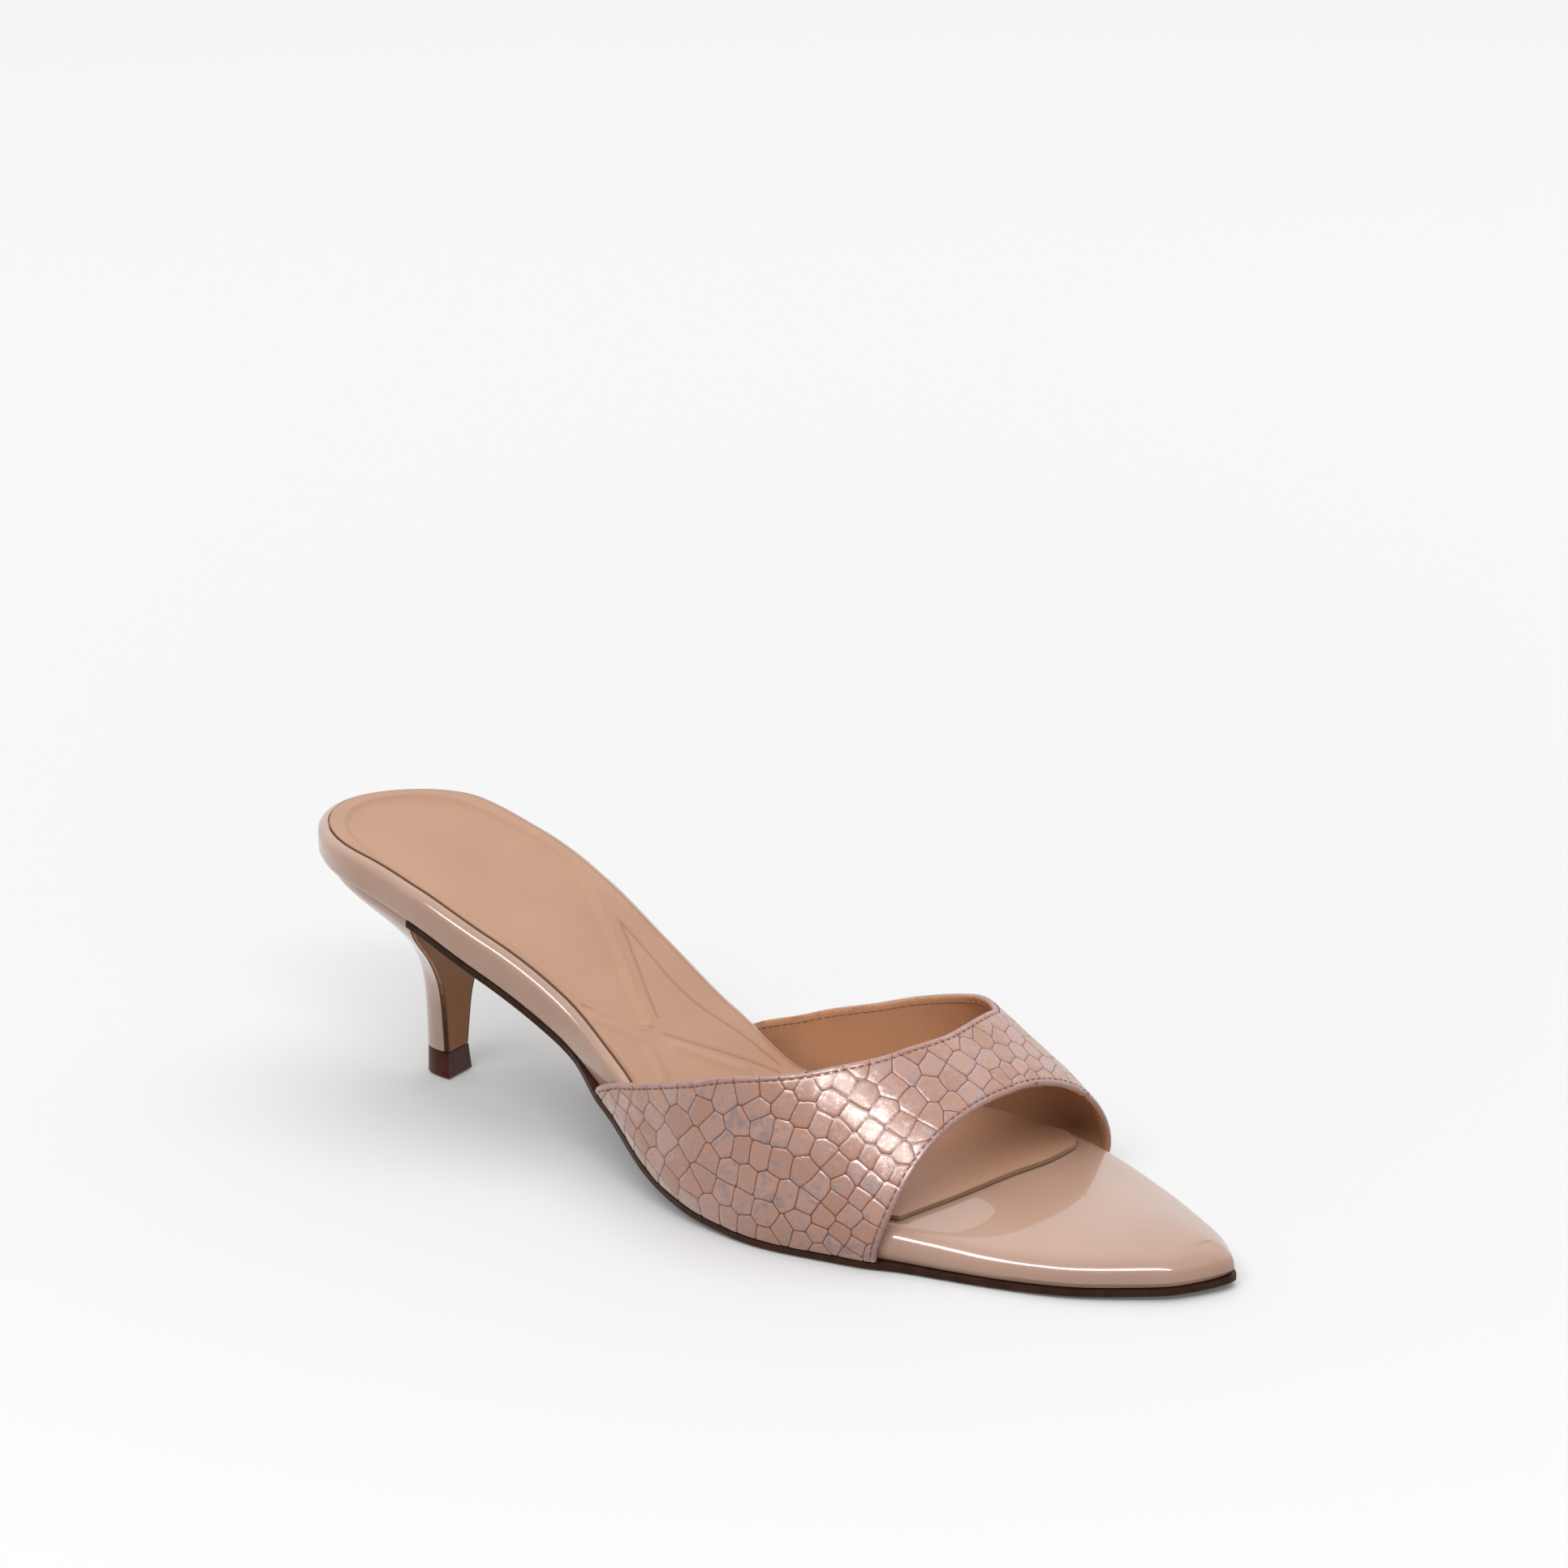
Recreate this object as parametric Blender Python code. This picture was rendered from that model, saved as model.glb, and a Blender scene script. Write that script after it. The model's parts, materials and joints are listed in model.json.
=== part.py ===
"""Low heel sandal for the right foot: a slip-on mule with one wide strap, a pointed toe and a slim low heel.

Everything is modelled in the last's own frame, in metres: the back of the heel at x = 0, the toe along +X,
the outer side of the foot along -Y, the floor at z = 0. One empty then carries the shoe to its reference
point, the middle of its outline on the floor.
"""

import math

import bmesh
import bpy
import numpy as np
from mathutils import Vector

# Driving sizes, in metres
SHOE_LENGTH = 0.250
BALL_WIDTH = 0.080
HEEL_RISE = 0.0535
TOE_SPRING = 0.0014
OUTSOLE_THICKNESS = 0.0017
OUTSOLE_LIP = 0.0005
OUTSOLE_EDGE_BEVEL = 0.0003
FOOTBED_THICKNESS = 0.0082
FOOTBED_CROWN = 0.0022
FOOTBED_CROWN_WIDTH = 0.0320
FOOTBED_HEEL_ROUND = 0.0024
FOOTBED_TOE_ROUND = 0.0056
FOOTBED_UNDERCUT = 0.0007
FOOTBED_UNDERCUT_HEIGHT = 0.0014
SOCK_THICKNESS = 0.0010
SOCK_RIM = 0.0001
STRAP_WALL = 0.0015
STRAP_SWELL = 0.0014
STRAP_SWELL_HEIGHT = 0.0070
INSTEP_HEIGHT = 0.0437
TOE_OPENING_HEIGHT = 0.0321
HEEL_SEAT_RADIUS = 0.0260
TOE_TIP_RADIUS = 0.0090
BREAST_TOP = 0.0392
BREAST_FOOT = 0.0339
HEEL_STEM_WIDTH = 0.0080
HEEL_STEM_DEPTH = 0.0069
HEEL_SEAT_INSET = 0.0014
BREAST_COVER_THICKNESS = 0.0010
BREAST_COVER_INSET = 0.0002
TOP_PIECE_HEIGHT = 0.0065
TOP_PIECE_FLARE = 0.0005
TOP_PIECE_BEVEL = 0.0003
CLEARANCE = 0.0003
SIDE_ROOM = 0.0002

# Where the footbed's edge swells into the toe and its sunk bed fades out, as shares of the shoe's length
TOE_SWELL_START = 0.55
TOE_SWELL_REACH = 0.25
SOCK_BED_FADE_START = 0.52
SOCK_BED_FADE_REACH = 0.16

# The power that draws the stem's section from an ellipse (1) towards a squarer D, and the top piece's waist
STEM_POWER = 0.85
TOP_PIECE_WAIST_HEIGHT = 0.4
TOP_PIECE_WAIST_FLARE = 0.6

# How finely the faceted solids follow their curves
LENGTH_STEPS = 44
ROUND_STEPS = 3
TOP_STEPS = 8
UNDERSIDE_STEPS = 2
OUTSOLE_STEPS_ACROSS = 4
SLOPE_STEP = 0.0005
STRAP_STEPS_ALONG = 9
STRAP_STEPS_AROUND = 36
SOCK_SLANT_ROWS = 4
HEEL_STEPS_AROUND = 22
HEEL_STEPS_ACROSS = 4


def table(header, *rows):
    """A short table as named columns, one row for each section."""
    names = header.split()
    return {name: np.array([row[i] for row in rows]) for i, name in enumerate(names)}


# Half widths of the footbed, as shares of the ball width, at shares of the shoe's length
PLAN = table(
    "along outer inner",
    (0.00, 0.285, 0.285),
    (0.10, 0.310, 0.328),
    (0.20, 0.324, 0.334),
    (0.32, 0.286, 0.296),
    (0.39, 0.333, 0.272),
    (0.46, 0.421, 0.266),
    (0.53, 0.482, 0.305),
    (0.60, 0.503, 0.380),
    (0.68, 0.470, 0.462),
    (0.74, 0.434, 0.466),
    (0.78, 0.412, 0.440),
    (0.88, 0.334, 0.292),
    (0.95, 0.216, 0.150),
    (1.00, 0.098, 0.036),
)

# The sole's rise over its tread as a share of the heel rise, and the toe spring as a share of its own size
PROFILE = table(
    "along rise spring",
    (0.00, 1.000, 0.0),
    (0.08, 0.972, 0.0),
    (0.16, 0.874, 0.0),
    (0.24, 0.711, 0.0),
    (0.32, 0.500, 0.0),
    (0.40, 0.283, 0.0),
    (0.48, 0.082, 0.0),
    (0.54, 0.022, 0.0),
    (0.60, 0.000, 0.0),
    (0.80, 0.000, 0.0),
    (0.90, 0.000, 0.35),
    (1.00, 0.000, 1.0),
)

# The footbed's thickness at its edge and the height of its crown, as shares of their sizes
PADDING = table(
    "along edge crown",
    (0.00, 0.90, 0.10),
    (0.20, 0.98, 0.10),
    (0.40, 1.00, 0.10),
    (0.60, 1.00, 0.30),
    (0.75, 0.92, 0.80),
    (0.88, 0.83, 1.00),
    (1.00, 0.80, 0.90),
)

# How far the outsole stands out past the footbed: its lip, and the strap's wall that it carries on each side
OUTSOLE_PLAN = table(
    "along lip outer inner",
    (0.14, -1.0, 0.0, 0.0),
    (0.34, -0.6, 0.0, 0.0),
    (0.39, 0.4, 1.0, 1.0),
    (0.70, 0.4, 1.0, 1.0),
    (0.74, 0.4, 0.4, 1.0),
    (0.78, 0.8, 0.1, 1.0),
    (0.84, 1.0, 0.0, 0.1),
    (1.00, 1.0, 0.0, 0.0),
)

# The strap's edges, as shares of the shoe's length, round the foot from the outer side (-1) to the inner (1)
STRAP_EDGES = table(
    "around back front",
    (-1.00, 0.383, 0.718),
    (-0.98, 0.404, 0.719),
    (-0.87, 0.475, 0.725),
    (-0.75, 0.538, 0.731),
    (-0.50, 0.636, 0.741),
    (-0.25, 0.683, 0.752),
    (0.00, 0.700, 0.762),
    (0.25, 0.693, 0.772),
    (0.50, 0.647, 0.779),
    (0.75, 0.559, 0.781),
    (0.87, 0.493, 0.780),
    (0.98, 0.421, 0.777),
    (1.00, 0.402, 0.776),
)

# The sock's front edge, as shares of the shoe's length, across the foot from its outer side to its inner
SOCK_FRONT = table(
    "across along",
    (-1.0, 0.724),
    (-0.5, 0.748),
    (0.0, 0.763),
    (0.5, 0.774),
    (0.8, 0.774),
    (1.0, 0.758),
)

# The fullness of the arch's shoulders and crown, and the lean of its ridge to the inner side as a share
# of the ball width, at shares of the shoe's length
ARCH = table(
    "along shoulder crown lean",
    (0.36, 2.42, 2.95, 0.044),
    (0.50, 2.40, 2.60, 0.041),
    (0.70, 2.34, 2.10, 0.036),
    (0.78, 2.30, 1.92, 0.034),
)

# How the heel spreads from its stem to the seat, from the top piece (0) up to the footbed (1)
HEEL_SPREAD = table(
    "height side back",
    (0.00, 0.000, 0.000),
    (0.14, 0.030, 0.000),
    (0.29, 0.070, 0.005),
    (0.43, 0.150, 0.025),
    (0.56, 0.310, 0.080),
    (0.65, 0.460, 0.165),
    (0.73, 0.630, 0.310),
    (0.80, 0.780, 0.500),
    (0.87, 0.910, 0.730),
    (0.94, 0.985, 0.920),
    (1.00, 1.000, 1.000),
)

# Colour as red, green, blue, then roughness, of each finish
FINISHES = {
    "patent_nude": ((0.66, 0.47, 0.39), 0.12),
    "sock_leather": ((0.65, 0.42, 0.30), 0.55),
    "scaled_leather": ((0.52, 0.34, 0.30), 0.34),
    "sole_brown": ((0.10, 0.05, 0.035), 0.45),
    "breast_tan": ((0.30, 0.16, 0.09), 0.50),
    "tip_brown": ((0.07, 0.03, 0.02), 0.35),
}


def smooth(rows, key, name, at):
    """The named column where the key column has the value at, on a curve that never overshoots its rows."""
    x, y = rows[key], rows[name]
    gap = np.diff(x)
    rise = np.diff(y) / gap
    slope = np.empty(len(x))
    slope[0], slope[-1] = rise[0], rise[-1]
    for i in range(1, len(x) - 1):
        before, after = rise[i - 1], rise[i]
        turns = before * after <= 0.0
        weight_before = 2.0 * gap[i] + gap[i - 1]
        weight_after = gap[i] + 2.0 * gap[i - 1]
        total = weight_before + weight_after
        slope[i] = 0.0 if turns else total / (weight_before / before + weight_after / after)
    at = min(max(at, x[0]), x[-1])
    i = min(int(np.searchsorted(x, at, side="right")) - 1, len(gap) - 1)
    t = (at - x[i]) / gap[i]
    start = y[i] * (1 + 2 * t) * (1 - t) ** 2 + slope[i] * gap[i] * t * (1 - t) ** 2
    end = y[i + 1] * t * t * (3 - 2 * t) - slope[i + 1] * gap[i] * t * t * (1 - t)
    return float(start + end)


def ease(share):
    """A share held between 0 and 1, with a soft start and end."""
    share = min(1.0, max(0.0, share))
    return share * share * (3 - 2 * share)


def end_round(distance, radius, inset):
    """The share of a half width left at a distance from the outline's end, where the end is rounded."""
    short = max(0.0, min(1.0, (radius - distance) / (radius - inset)))
    return math.sqrt(1.0 - short * short)


def half_width(side, x, inset=0.0):
    """The footbed's half width at x on its outer or inner side, drawn in from its outline by the inset."""
    width = BALL_WIDTH * smooth(PLAN, "along", side, x / SHOE_LENGTH) - inset
    heel = end_round(x, HEEL_SEAT_RADIUS, inset)
    toe = end_round(SHOE_LENGTH - x, TOE_TIP_RADIUS, inset)
    return width * heel * toe


def tread_height(x):
    """The height of the outsole's underside over the floor."""
    along = x / SHOE_LENGTH
    rise = HEEL_RISE * smooth(PROFILE, "along", "rise", along)
    return rise + TOE_SPRING * smooth(PROFILE, "along", "spring", along)


def sole_slope(x):
    """How much longer an upright cut through the sole is than its thickness, where the sole slopes."""
    fall = (tread_height(x + SLOPE_STEP) - tread_height(x - SLOPE_STEP)) / (2 * SLOPE_STEP)
    return math.hypot(1.0, fall)


def outsole_top(x):
    return tread_height(x) + OUTSOLE_THICKNESS * sole_slope(x)


def feather_height(x):
    """The height of the footbed's underside, where it meets the outsole."""
    return outsole_top(x) + CLEARANCE


def stations_between(start, end):
    """Places along the shoe, closer together near both ends where the outline turns."""
    shares = [(1 - math.cos(math.pi * i / LENGTH_STEPS)) / 2 for i in range(LENGTH_STEPS + 1)]
    return [start + (end - start) * share for share in shares]


def closed_ring(stations, inset, height):
    """A ring of points round the footbed, outer side first, drawn in by an inset that varies along it."""
    outer = [(x, -half_width("outer", x, inset(x)), height(x)) for x in stations]
    inner = [(x, half_width("inner", x, inset(x)), height(x)) for x in stations[-2:0:-1]]
    return outer + inner


def outline_ring(inset, height):
    """A ring on the footbed's outline, drawn in by one inset all round."""
    return closed_ring(stations_between(inset, SHOE_LENGTH - inset), lambda x: inset, height)


def new_object(name, mesh, finish, sharp_angle=35.0):
    """A named object with its finish, smooth but for its real edges, and carried by the shoe's frame."""
    obj = bpy.data.objects.new(name, mesh)
    bpy.context.scene.collection.objects.link(obj)
    mesh.materials.append(finishes[finish])
    mesh.shade_smooth()
    mesh.set_sharp_from_angle(angle=math.radians(sharp_angle))
    obj.parent = shoe_frame
    return obj


def mesh_from(name, bm):
    """The finished mesh, with all the faces of a closed solid turned outwards."""
    bmesh.ops.recalc_face_normals(bm, faces=bm.faces)
    closed = all(edge.is_manifold for edge in bm.edges)
    if closed and bm.calc_volume(signed=True) < 0:
        bmesh.ops.reverse_faces(bm, faces=bm.faces)
    mesh = bpy.data.meshes.new(name)
    bm.to_mesh(mesh)
    bm.free()
    return mesh


def new_sheet(name, bm, finish, thickness, offset, facing):
    """A sheet whose highest face looks the way given, with its wall on the side that the offset says."""
    mesh = mesh_from(name, bm)
    highest = max(mesh.polygons, key=lambda face: face.center.z)
    if highest.normal.dot(Vector(facing)) < 0:
        mesh.flip_normals()
    obj = new_object(name, mesh, finish)
    wall = obj.modifiers.new("wall", "SOLIDIFY")
    wall.thickness = thickness
    wall.offset = offset
    return obj


def add_ring(bm, points):
    return [bm.verts.new(point) for point in points]


def bridge(bm, lower, upper, closed=True):
    """A band of four-sided faces between two rows with the same number of points."""
    last = len(lower) if closed else len(lower) - 1
    for i in range(last):
        j = (i + 1) % len(lower)
        bm.faces.new((lower[i], lower[j], upper[j], upper[i]))


def fill_outline(bm, ring, columns, height):
    """Faces across a closed ring: their rows run from its outer to its inner side."""
    steps = len(ring) // 2
    rows = []
    for i in range(1, steps):
        outer, inner = ring[i], ring[-i]
        row = [outer]
        for k in range(1, columns):
            share = k / columns
            place = outer.co.lerp(inner.co, share)
            row.append(bm.verts.new((place.x, place.y, height(place.x, 2 * share - 1))))
        rows.append(row + [inner])
    for first, second in zip(rows, rows[1:]):
        bridge(bm, first, second, closed=False)
    for tip, row in ((ring[0], rows[0]), (ring[steps], rows[-1])):
        for k in range(columns):
            bm.faces.new((tip, row[k], row[k + 1]))


def footbed_round(x):
    """The radius of the footbed's upper edge, which swells into the toe."""
    swell = ease((x / SHOE_LENGTH - TOE_SWELL_START) / TOE_SWELL_REACH)
    return FOOTBED_HEEL_ROUND + (FOOTBED_TOE_ROUND - FOOTBED_HEEL_ROUND) * swell


def footbed_thickness(x):
    return FOOTBED_THICKNESS * sole_slope(x) * smooth(PADDING, "along", "edge", x / SHOE_LENGTH)


def footbed_top(x, across):
    """The height of the footbed's upper face, with its crown, across from -1 to 1."""
    inset = footbed_round(x)
    width = half_width("outer", x, inset) + half_width("inner", x, inset)
    fullness = min(1.0, width / FOOTBED_CROWN_WIDTH)
    crown = FOOTBED_CROWN * smooth(PADDING, "along", "crown", x / SHOE_LENGTH) * fullness * (2 - fullness)
    return feather_height(x) + footbed_thickness(x) + crown * (1 - across * across)


def sock_bed(x, across):
    """The footbed's upper face inside its rim, sunk so that the sock lies flush but for its front end."""
    fade = ease((x / SHOE_LENGTH - SOCK_BED_FADE_START) / SOCK_BED_FADE_REACH)
    return footbed_top(x, across) - SOCK_THICKNESS * (1 - fade)


def rounded_stations(draw_in, further):
    """Places along the footbed's upper edge, drawn in by a share of its round and further still."""
    heel_end = FOOTBED_HEEL_ROUND * draw_in + further
    toe_end = SHOE_LENGTH - FOOTBED_TOE_ROUND * draw_in - further
    return stations_between(heel_end, toe_end)


def rounded_ring(turn, height, further=0.0):
    """The footbed's outline drawn in along the round of its upper edge, at one turn of that round."""
    draw_in = 1 - math.cos(turn)
    return closed_ring(
        rounded_stations(draw_in, further),
        lambda x: footbed_round(x) * draw_in + further,
        height,
    )


def make_footbed():
    """The padded board in its glossy wrapping: flat below, upright at the side, rounded at the top edge."""
    bm = bmesh.new()
    rings = [
        add_ring(bm, outline_ring(FOOTBED_UNDERCUT, feather_height)),
        add_ring(bm, outline_ring(0.0, lambda x: feather_height(x) + FOOTBED_UNDERCUT_HEIGHT)),
    ]
    for step in range(ROUND_STEPS + 1):
        turn = math.pi / 2 * step / ROUND_STEPS

        def edge_height(x, turn=turn):
            return feather_height(x) + footbed_thickness(x) - footbed_round(x) * (1 - math.sin(turn))

        rings.append(add_ring(bm, rounded_ring(turn, edge_height)))
    rings.append(add_ring(bm, rounded_ring(math.pi / 2, lambda x: sock_bed(x, 1.0), SOCK_RIM)))
    for lower, upper in zip(rings, rings[1:]):
        bridge(bm, lower, upper)
    fill_outline(bm, rings[-1], TOP_STEPS, sock_bed)
    fill_outline(bm, rings[0], UNDERSIDE_STEPS, lambda x, across: feather_height(x))
    return new_object("footbed", mesh_from("footbed", bm), "patent_nude")


def outsole_half_width(side, x, inset=0.0):
    """The outsole stands out by its lip, and under the strap by the strap's wall as well."""
    along = x / SHOE_LENGTH
    lip = OUTSOLE_LIP * smooth(OUTSOLE_PLAN, "along", "lip", along)
    wall = (STRAP_WALL + CLEARANCE + SIDE_ROOM) * smooth(OUTSOLE_PLAN, "along", side, along)
    width = BALL_WIDTH * smooth(PLAN, "along", side, along) + lip + wall - inset
    toe = end_round(SHOE_LENGTH + OUTSOLE_LIP - x, TOE_TIP_RADIUS + OUTSOLE_LIP, inset)
    return width * toe


def outsole_row(x, inset, height, columns):
    """A row of points across the outsole, from its outer to its inner side."""
    outer = -outsole_half_width("outer", x, inset)
    inner = outsole_half_width("inner", x, inset)
    return [(x, outer + (inner - outer) * k / columns, height) for k in range(columns + 1)]


def make_outsole():
    """The thin sole: flat at the tread, up under the arch to the heel, bevelled at its lower edge."""
    bm = bmesh.new()
    start = BREAST_TOP + CLEARANCE
    toe = SHOE_LENGTH + OUTSOLE_LIP
    shares = [math.sin(math.pi / 2 * i / LENGTH_STEPS) for i in range(LENGTH_STEPS)]
    stations = [start + (toe - start) * share for share in shares]
    levels = (
        (OUTSOLE_EDGE_BEVEL, tread_height, OUTSOLE_STEPS_ACROSS),
        (0.0, lambda x: tread_height(x) + OUTSOLE_EDGE_BEVEL, 1),
        (0.0, outsole_top, OUTSOLE_STEPS_ACROSS),
    )
    grids = []
    tips = []
    for inset, height, columns in levels:
        grid = [add_ring(bm, outsole_row(x, inset, height(x), columns)) for x in stations]
        middle = (grid[-1][0].co.y + grid[-1][-1].co.y) / 2
        grids.append(grid)
        tips.append(bm.verts.new((toe - inset, middle, height(toe))))
    bottom, edge, top = grids
    for grid, tip in ((bottom, tips[0]), (top, tips[2])):
        for first, second in zip(grid, grid[1:]):
            bridge(bm, first, second, closed=False)
        for k in range(OUTSOLE_STEPS_ACROSS):
            bm.faces.new((tip, grid[-1][k], grid[-1][k + 1]))
    for low in range(len(levels) - 1):
        lower, upper = grids[low], grids[low + 1]
        for end in (0, -1):
            bridge(bm, [row[end] for row in lower], [row[end] for row in upper], closed=False)
            bm.faces.new((tips[low], tips[low + 1], upper[-1][end], lower[-1][end]))
    bm.faces.new(bottom[0] + [edge[0][-1]] + top[0][::-1] + [edge[0][0]])
    return new_object("outsole", mesh_from("outsole", bm), "sole_brown")


def sock_front(across):
    """Where the sock ends under the toe opening, as a share of the length, across from -1 to 1."""
    return smooth(SOCK_FRONT, "across", "along", across)


def make_sock():
    """The leather sock on the footbed: a sheet inside its outline, at the footbed's own places along it."""
    bm = bmesh.new()
    full = SHOE_LENGTH * sock_front(0.0)
    stations = [x for x in rounded_stations(1.0, SOCK_RIM) if x < full]
    rows = []
    # The tip stands for the first two places, where the outline is still too narrow for a row
    for i in range(2, len(stations)):
        slant = max(0.0, 1 - (len(stations) - 1 - i) / SOCK_SLANT_ROWS) ** 2
        row = []
        for k in range(TOP_STEPS + 1):
            across = 2 * k / TOP_STEPS - 1
            x = stations[i] + (SHOE_LENGTH * sock_front(across) - stations[-1]) * slant
            inset = footbed_round(x) + SOCK_RIM + CLEARANCE
            outer = -half_width("outer", x, inset)
            inner = half_width("inner", x, inset)
            row.append((x, outer + (inner - outer) * k / TOP_STEPS, sock_bed(x, across) + CLEARANCE))
        rows.append(add_ring(bm, row))
    back = FOOTBED_HEEL_ROUND + SOCK_RIM + CLEARANCE
    tip = bm.verts.new((back, 0.0, sock_bed(back, 1.0) + CLEARANCE))
    for first, second in zip(rows, rows[1:]):
        bridge(bm, first, second, closed=False)
    for k in range(TOP_STEPS):
        bm.faces.new((tip, rows[0][k], rows[0][k + 1]))
    return new_sheet("sock", bm, "sock_leather", SOCK_THICKNESS, 1.0, (0, 0, 1))


def ridge_height(x):
    """The height over the floor of the top of the arch that the strap lies on."""
    back = SHOE_LENGTH * smooth(STRAP_EDGES, "around", "back", 0.0)
    front = SHOE_LENGTH * smooth(STRAP_EDGES, "around", "front", 0.0)
    return INSTEP_HEIGHT + (TOE_OPENING_HEIGHT - INSTEP_HEIGHT) * (x - back) / (front - back)


def arch_point(x, around):
    """A point of the strap's outer face: round the foot from its outer side (-1) to its inner (1)."""
    along = x / SHOE_LENGTH
    shoulder = smooth(ARCH, "along", "shoulder", along)
    crown = smooth(ARCH, "along", "crown", along)
    lean = BALL_WIDTH * smooth(ARCH, "along", "lean", along)
    room = STRAP_WALL + CLEARANCE + SIDE_ROOM
    turn = around * math.pi / 2
    upward = max(0.0, math.cos(turn)) ** (2 / crown)
    foot = outsole_top(x) + CLEARANCE
    z = foot + (ridge_height(x) - foot) * upward
    rise = min(1.0, (z - foot) / STRAP_SWELL_HEIGHT)
    swell = STRAP_SWELL * rise * (2 - rise)
    outer = half_width("outer", x) + room + swell
    inner = half_width("inner", x) + room + swell
    sideways = math.copysign(abs(math.sin(turn)) ** (2 / shoulder), turn)
    return (x, (inner - outer) / 2 + (inner + outer) / 2 * sideways + lean * upward, z)


def make_strap():
    """The upper: one wide strap over the foot, lasted down to the outsole on both sides of the footbed."""
    bm = bmesh.new()
    columns = []
    for k in range(STRAP_STEPS_AROUND + 1):
        even = 2 * k / STRAP_STEPS_AROUND - 1
        around = (even + math.sin(math.pi / 2 * even)) / 2
        back = SHOE_LENGTH * smooth(STRAP_EDGES, "around", "back", around)
        front = SHOE_LENGTH * smooth(STRAP_EDGES, "around", "front", around)
        stations = [back + (front - back) * j / STRAP_STEPS_ALONG for j in range(STRAP_STEPS_ALONG + 1)]
        columns.append(add_ring(bm, [arch_point(x, around) for x in stations]))
    for first, second in zip(columns, columns[1:]):
        bridge(bm, first, second, closed=False)
    return new_sheet("strap", bm, "scaled_leather", STRAP_WALL, -1.0, (0, 0, 1))


def stem_ring(grow=0.0, reach=0.0):
    """The heel stem's section in plan, round the back from its outer front corner to its inner one."""
    points = []
    for i in range(HEEL_STEPS_AROUND + 1):
        turn = math.pi * (i / HEEL_STEPS_AROUND - 0.5)
        back = (HEEL_STEM_DEPTH + reach) * math.cos(turn) ** STEM_POWER
        side = (HEEL_STEM_WIDTH / 2 + grow) * math.copysign(abs(math.sin(turn)) ** STEM_POWER, turn)
        points.append((BREAST_FOOT + reach - back, side))
    return points


def seat_ring():
    """The heel's upper outline under the footbed, with a point for each one of the stem's ring."""
    points = []
    for i in range(HEEL_STEPS_AROUND + 1):
        turn = math.pi * (i / HEEL_STEPS_AROUND - 0.5)
        x = HEEL_SEAT_INSET + (BREAST_TOP - HEEL_SEAT_INSET) * (1 - math.cos(turn))
        side = "outer" if turn < 0 else "inner"
        y = half_width(side, x, HEEL_SEAT_INSET + FOOTBED_UNDERCUT)
        points.append((x, math.copysign(y, turn)))
    return points


def heel_point(stem, seat, height):
    """A point of the heel between its stem and its seat, spread as the table says."""
    backward = (BREAST_TOP - seat[0]) / BREAST_TOP
    side = smooth(HEEL_SPREAD, "height", "side", height)
    back = smooth(HEEL_SPREAD, "height", "back", height)
    spread = side + (back - side) * backward
    foot = TOP_PIECE_HEIGHT + CLEARANCE
    top = feather_height(seat[0]) - CLEARANCE
    x = stem[0] + (seat[0] - stem[0]) * spread
    y = stem[1] + (seat[1] - stem[1]) * spread
    return (x, y, foot + (top - foot) * height)


def make_heel():
    """The slim heel block: a D-shaped stem that sweeps back and out into the cup under the heel seat."""
    bm = bmesh.new()
    stem, seat = stem_ring(), seat_ring()
    rings = []
    for height in HEEL_SPREAD["height"]:
        points = [heel_point(a, b, height) for a, b in zip(stem, seat)]
        first, last = np.array(points[0]), np.array(points[-1])
        front = [tuple(last + (first - last) * k / HEEL_STEPS_ACROSS) for k in range(1, HEEL_STEPS_ACROSS)]
        rings.append(add_ring(bm, points + front))
    for lower, upper in zip(rings, rings[1:]):
        bridge(bm, lower, upper)
    bm.faces.new(rings[0])
    seat_rows = []
    half = HEEL_STEPS_AROUND // 2
    for i in range(half):
        outer, inner = rings[-1][i], rings[-1][HEEL_STEPS_AROUND - i]
        shares = [k / HEEL_STEPS_ACROSS for k in range(1, HEEL_STEPS_ACROSS)]
        if i == 0:
            between = rings[-1][:HEEL_STEPS_AROUND:-1]
        else:
            between = [bm.verts.new(outer.co.lerp(inner.co, share)) for share in shares]
        seat_rows.append([outer, *between, inner])
    for first, second in zip(seat_rows, seat_rows[1:]):
        bridge(bm, first, second, closed=False)
    back = rings[-1][half]
    for k in range(HEEL_STEPS_ACROSS):
        bm.faces.new((back, seat_rows[-1][k], seat_rows[-1][k + 1]))
    return new_object("heel", mesh_from("heel", bm), "patent_nude")


def make_breast_cover():
    """The flat leather facing on the front of the heel, from the top piece up to the outsole."""
    bm = bmesh.new()
    stem, seat = stem_ring(), seat_ring()
    rows = []
    under_sole = tread_height(BREAST_TOP + CLEARANCE + BREAST_COVER_THICKNESS) - CLEARANCE
    full = feather_height(BREAST_TOP) - CLEARANCE - TOP_PIECE_HEIGHT - CLEARANCE
    top_share = (under_sole - TOP_PIECE_HEIGHT - CLEARANCE) / full
    for height in HEEL_SPREAD["height"]:
        outer = heel_point(stem[0], seat[0], height * top_share)
        inner = heel_point(stem[-1], seat[-1], height * top_share)
        row = []
        for k in range(HEEL_STEPS_ACROSS + 1):
            share = k / HEEL_STEPS_ACROSS
            y = outer[1] + BREAST_COVER_INSET + (inner[1] - outer[1] - 2 * BREAST_COVER_INSET) * share
            row.append((outer[0] + CLEARANCE, y, outer[2]))
        rows.append(add_ring(bm, row))
    for first, second in zip(rows, rows[1:]):
        bridge(bm, first, second, closed=False)
    return new_sheet("breast_cover", bm, "breast_tan", BREAST_COVER_THICKNESS, 1.0, (1, 0, 0))


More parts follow.
